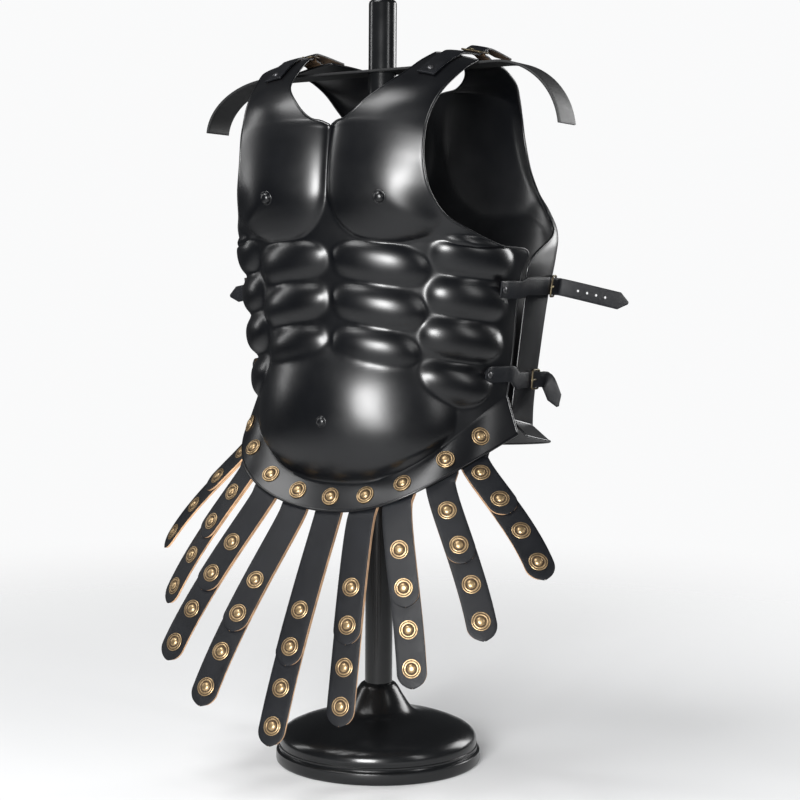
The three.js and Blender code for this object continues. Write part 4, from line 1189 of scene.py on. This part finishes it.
def side_strap(row):
    """The strap line, its across direction and its buckle's axes, on the wearer's left."""
    up = unit((row["lean"], 0, 1))
    out = np.array([1.0, 0, 0])
    front = spaced(cut_at(band_outline(FRONT_GRID, row["low"], row["width"] / 2), row["start"]), 7)
    heights = np.where(np.arange(len(front)) < len(front) - 1, *SIDE_LIFT)
    first = lifted(front, up, heights, out)
    back = band_outline(BACK_GRID, row["high"], row["width"] / 2)[::-1]
    seat = cut_at(back, row["seat"])
    origin = seat[0]
    way = unit(spaced(seat, 5)[1] - origin)
    off = unit(np.cross(way, up))
    over = spaced(back[back[:, 1] < row["seat"] - 26], 7) if row["seat"] - 26 > back[0, 1] + 6 \
        else back[:0]
    second = lifted(over, up, np.full(len(over), BACK_LIFT), out) if len(over) > 1 else over
    threaded = [origin + way * e + off * n for e, n in (*THREADED, *row["past"])]
    line = np.concatenate([first, second, threaded, [row["tip"]]])
    tab = seat[np.linalg.norm(seat - origin, axis=1) > 12][:40]
    tab = spaced(np.concatenate([[origin + way * 10.5], tab]), 5)
    tab = lifted(tab, up, np.full(len(tab), SIDE_LIFT[0]), out)
    tab = tab[lengths_of(tab) < 30]
    return centripetal(line, 3.0), up, (origin, way, off), tab, out


def row_point(row, x):
    """A point of one row of a plate at a place across."""
    return np.array([np.interp(x, row[:, 0], row[:, k]) for k in range(3)])


def shoulder_strap(row):
    """The same for the shoulder strap."""
    up = np.array([0, 0, 1.0])
    across = unit((1, 0, row["slope"]))
    (x0, y0), (sx, sy, sz) = row["start"], row["seat"]
    front = []
    for points in FRONT_GRID[FRONT_NOTCH_ROW + 2:]:
        x = x0
        for _ in range(3):
            p = row_point(points, x)
            x = x0 + (sx - x0) * (p[1] - y0) / (sy - y0)
        front.append(row_point(points, x))
    front = spaced(cut_at(np.array(front), y0), 7)
    heights = np.where(np.arange(len(front)) < len(front) - 1, *SHOULDER_LIFT)
    first = lifted(front, across, heights, up)
    origin = np.array([sx, sy, sz], float)
    way = unit((sx - x0, sy - y0, 0))
    off = unit(np.cross(across, way))
    threaded = [origin + way * e + off * n for e, n in THREADED]
    line = np.concatenate([first, threaded, [row["tip"]]])
    back = np.array([row_point(points, sx + 2) for points in BACK_GRID[BACK_NOTCH_ROW + 4:][::-1]])
    back = back[back[:, 1] > 46]
    tab = spaced(np.concatenate([[origin + way * 12], back[:, :]]), 5)
    heights = np.where(tab[:, 1] > 40, BACK_LIFT, 2.4)
    tab = lifted(tab, across, heights, up)
    tab = tab[lengths_of(tab) < 32]
    return centripetal(line, 3.0), across, (origin, way, off), tab, up


class CUIRASS_OT_straps(bpy.types.Operator):
    """Makes the six straps with their buckles, rivets and buckle holders"""
    bl_idname = "cuirass.straps"
    bl_label = "Straps and buckles"

    def execute(self, context):
        leathers = [FINISHES[k] for k in ("leather", "leather", "flesh")]
        for row in (*SIDE_STRAPS, SHOULDER):
            shape = shoulder_strap(row) if row is SHOULDER else side_strap(row)
            line, across, (origin, way, off), tab, out = shape
            name, width = row["name"], row["width"]
            band = strap_leather(f"left_{name}_leather", line, across, width,
                                 name == "lower_side", out)
            if row["holes"]:
                punch(band, line, across, TAIL_HOLES)
            feet, _, offs = line_frames(line, across, [7.0 if name != "shoulder" else 12.0])
            lift = offs[0] if offs[0] @ out > 0 else -offs[0]
            nail = rivet(f"left_{name}_rivet", feet[0] + lift * RIVET_LIFT, lift)
            buckle = buckle_piece(f"left_{name}_frame", width, origin, way, off)
            holder = holder_piece(f"left_{name}_holder", tab, width, origin, way, off)
            end = along(tab, [lengths_of(tab)[-1] - 5])[0]
            away = unit(np.cross(unit(tab[-1] - tab[-3]), across))
            away = away if away @ out > 0 else -away
            pin = rivet(f"left_{name}_holder_rivet", end + away * RIVET_LIFT, away)
            pieces = (
                (band, "leather", f"{name}_strap"), (nail, "rivet", f"{name}_strap"),
                (buckle, "buckle", f"{name}_buckle"), (holder, "leather", f"{name}_chape"),
                (pin, "rivet", f"{name}_chape"),
            )
            for obj, kind, node in pieces:
                copy = mirror_copy(obj, obj.name.replace("left_", "right_"))
                for hand, item in (("left", obj), ("right", copy)):
                    if kind == "leather":
                        finish_piece(item, leathers, "black_leather", f"{hand}_{node}")
                    else:
                        finish_piece(item, [FINISHES[kind]], "antique_brass",
                                     f"{hand}_{node}")
        return {"FINISHED"}


# ------------------------------------------------------------------ stand
BASE_PROFILE = (
    (122, 0), (125, 0.4), (126.6, 2), (127, 4), (127, 12), (126.6, 14.2), (125, 15.6),
    (123.4, 16.2), (122.9, 17.4), (123.6, 18.8), (123.5, 20.2), (122.4, 21), (122.3, 22),
    (122.8, 23), (122.6, 27), (121.8, 31), (119.4, 35), (114, 39.4), (106, 43.2), (98, 46.4),
    (90, 49.2), (76, 52.8), (62, 55.8), (53, 58.4), (46, 61.6), (40, 67), (34, 76), (29, 84),
    (25, 91), (21.5, 95.6), (19, 97), (17.6, 97), (17.3, 96.4), (17.3, 62), (0, 62),
)


class CUIRASS_OT_stand(bpy.types.Operator):
    """Makes the stand's foot, pole and shoulder bar"""
    bl_idname = "cuirass.stand"
    bl_label = "Stand"

    def execute(self, context):
        foot = turned("stand_foot_turned", BASE_PROFILE, 128)
        smooth(foot, 35)
        finish_piece(foot, [FINISHES["enamel"]], "stand_enamel", "stand_base")
        bottom = SOCKET_FLOOR + 2.6
        pole_profile = ((POLE_RADIUS, bottom), (POLE_RADIUS, 300), (POLE_RADIUS, 600),
                        (POLE_RADIUS, POLE_TOP - 5), (POLE_RADIUS - 0.8, POLE_TOP - 2.4),
                        (POLE_RADIUS - 3, POLE_TOP - 0.6), (POLE_RADIUS - 6, POLE_TOP - 0.1),
                        (0, POLE_TOP))
        pole = turned("stand_pole_turned", pole_profile, 64)
        smooth(pole, 35)
        finish_piece(pole, [FINISHES["enamel"]], "stand_enamel", "stand_pole")
        line = []
        for hand, (straight, reach, drop) in BAR_ENDS.items():
            angle = np.radians(np.linspace(0, 85, 30))
            bend = np.stack([straight + reach * np.sin(angle), 0 * angle,
                             -drop * (1 - np.cos(angle))], -1)
            side = np.concatenate([[[20.0, 0, 0]], [[90.0, 0, 0]], bend])
            line.append(side * (-1, 1, 1) if hand == "left" else side)
        points = np.concatenate([line[0][::-1], line[1]])
        tilt = math.radians(BAR_TILT)
        turn = np.array([[math.cos(tilt), 0, -math.sin(tilt)], [0, 1, 0],
                         [math.sin(tilt), 0, math.cos(tilt)]])
        points = points @ turn.T + (0, 0, BAR_HEIGHT)
        share = np.linspace(-1, 1, 9)
        rows = points[:, None] + share[None, :, None] * np.array([0, BAR_WIDTH / 2, 0])
        bar = grid_sheet("stand_bar", rows)
        apply_modifier(bar, "SOLIDIFY", thickness=BAR_THICKNESS * MM, offset=0,
                       use_even_offset=False)
        deselect()
        bpy.ops.mesh.primitive_cylinder_add(vertices=64, radius=BAR_BORE * MM, depth=0.06,
                                            location=(0, 0, BAR_HEIGHT * MM))
        tool = bpy.context.object
        apply_modifier(bar, "BOOLEAN", operation="DIFFERENCE", object=tool, solver="EXACT")
        bpy.data.objects.remove(tool)
        apply_modifier(bar, "BEVEL", width=0.0006, segments=2, limit_method="ANGLE",
                       angle_limit=math.radians(50))
        smooth(bar, 40)
        finish_piece(bar, [FINISHES["bar"]], "stand_enamel", "stand_crossbar")
        return {"FINISHED"}


# ------------------------------------------------------------------ studio
CAMERA = {"bearing": 0.50249, "distance": 2266.80, "height": 618.25, "focal": 1845.53,
          "yaw": -0.010699, "pitch": 0.074633, "roll": 0.0072151}


FLOOR_RADIUS = 3200.0
# name | azimuth | elevation | distance | width and height | power
LIGHTS = (
    ("Front softbox", 15, 5, 2.9, (1.0, 1.0), 150),
    ("Top softbox", -38, 60, 2.9, (1.5, 1.5), 60),
    ("Right strip", 78, 20, 2.8, (0.4, 1.6), 14),
    ("Left strip", -80, 18, 2.8, (0.4, 1.6), 14),
    ("Back softbox", 152, 14, 2.8, (1.2, 1.4), 46),
)


def studio_world():
    """A pale room to the eye that lights the pieces dimly, so that the softboxes shape them."""
    world = bpy.data.worlds.new("Studio room")
    world.use_nodes = True
    tree = world.node_tree
    background = tree.nodes["Background"]
    path = tree.nodes.new("ShaderNodeLightPath")
    tint = mix_colour(tree, path.outputs["Is Camera Ray"], (0.046, 0.048, 0.051),
                      (0.955, 0.957, 0.96))
    tree.links.new(tint, background.inputs["Color"])
    return world


def add_area(name, place, target, size, power, colour=(1, 1, 1)):
    """A soft square light that faces a target."""
    light = bpy.data.lights.new(name, "AREA")
    light.shape = "RECTANGLE"
    light.size, light.size_y = size
    light.energy = power
    light.color = colour
    obj = bpy.data.objects.new(name, light)
    bpy.context.scene.collection.objects.link(obj)
    obj.location = place
    obj.rotation_euler = (Vector(target) - Vector(place)).to_track_quat("-Z", "Y").to_euler()
    return obj


class CUIRASS_OT_studio(bpy.types.Operator):
    """Makes the floor with its backdrop, the lights and the camera"""
    bl_idname = "cuirass.studio"
    bl_label = "Studio"

    def execute(self, context):
        turn = np.linspace(0, 2 * math.pi, 97)
        rows = np.array([[(r * math.cos(a), r * math.sin(a), 0) for a in turn]
                         for r in (0, *np.linspace(150, FLOOR_RADIUS, 24))])
        floor = grid_sheet("studio_floor", rows)
        bpy.ops.object.mode_set(mode="EDIT")
        bpy.ops.mesh.select_all(action="SELECT")
        bpy.ops.mesh.remove_doubles(threshold=1e-5)
        bpy.ops.mesh.normals_make_consistent(inside=False)
        bpy.ops.object.mode_set(mode="OBJECT")
        floor.data.materials.append(FINISHES["floor"])
        scene = context.scene
        scene.world = studio_world()
        for label, azimuth, elevation, distance, size, power in LIGHTS:
            a, e = math.radians(azimuth), math.radians(elevation)
            place = (distance * math.sin(a) * math.cos(e), -distance * math.cos(a) * math.cos(e),
                     0.55 + distance * math.sin(e))
            add_area(label, place, (0, 0, 0.55), size, power)
        data = bpy.data.cameras.new("Camera")
        data.sensor_width = 36.0
        data.lens = CAMERA["focal"] * 36.0 / 800.0
        data.clip_end = 60.0
        camera = bpy.data.objects.new("Camera", data)
        scene.collection.objects.link(camera)
        heading = CAMERA["bearing"] + CAMERA["yaw"]
        s, c = math.sin(heading), math.cos(heading)
        right, forward, up = Vector((c, s, 0)), Vector((-s, c, 0)), Vector((0, 0, 1))
        cp, sp = math.cos(CAMERA["pitch"]), math.sin(CAMERA["pitch"])
        forward, up = forward * cp - up * sp, up * cp + forward * sp
        cr, sr = math.cos(CAMERA["roll"]), math.sin(CAMERA["roll"])
        right, up = right * cr + up * sr, up * cr - right * sr
        matrix = Matrix((right, up, -forward)).transposed().to_4x4()
        matrix.translation = Vector((
            CAMERA["distance"] * math.sin(CAMERA["bearing"]),
            -CAMERA["distance"] * math.cos(CAMERA["bearing"]), CAMERA["height"])) * MM
        camera.matrix_world = matrix
        scene.camera = camera
        scene.view_settings.view_transform = "Standard"
        return {"FINISHED"}


class CUIRASS_PT_panel(bpy.types.Panel):
    """Lists the pieces with their sizes and colours"""
    bl_label = "Cuirass"
    bl_idname = "CUIRASS_PT_panel"
    bl_space_type = "VIEW_3D"
    bl_region_type = "UI"
    bl_category = "Cuirass"

    def draw(self, context):
        for group in (context.scene.cuirass_sizes, context.scene.cuirass_colours):
            for key in group.__annotations__:
                self.layout.prop(group, key)
        for operator in OPERATORS:
            self.layout.operator(operator.bl_idname)


OPERATORS = (
    CUIRASS_OT_breastplate, CUIRASS_OT_backplate, CUIRASS_OT_flange_rosettes, CUIRASS_OT_strips,
    CUIRASS_OT_straps, CUIRASS_OT_stand, CUIRASS_OT_studio,
)
CLASSES = (CuirassSizes, CuirassColours, *OPERATORS, CUIRASS_PT_panel)


def register():
    """Adds the classes and the scene's settings."""
    for cls in CLASSES:
        bpy.utils.register_class(cls)
    bpy.types.Scene.cuirass_sizes = bpy.props.PointerProperty(type=CuirassSizes)
    bpy.types.Scene.cuirass_colours = bpy.props.PointerProperty(type=CuirassColours)


def unregister():
    """Takes them away again."""
    del bpy.types.Scene.cuirass_sizes
    del bpy.types.Scene.cuirass_colours
    for cls in reversed(CLASSES):
        bpy.utils.unregister_class(cls)


def main():
    """Makes the whole cuirass, its stand and the studio."""
    register()
    make_finishes()
    bpy.ops.cuirass.breastplate()
    bpy.ops.cuirass.backplate()
    bpy.ops.cuirass.flange_rosettes()
    bpy.ops.cuirass.strips()
    bpy.ops.cuirass.straps()
    bpy.ops.cuirass.stand()
    bpy.ops.cuirass.studio()
    deselect()


if __name__ == "__main__":
    main()
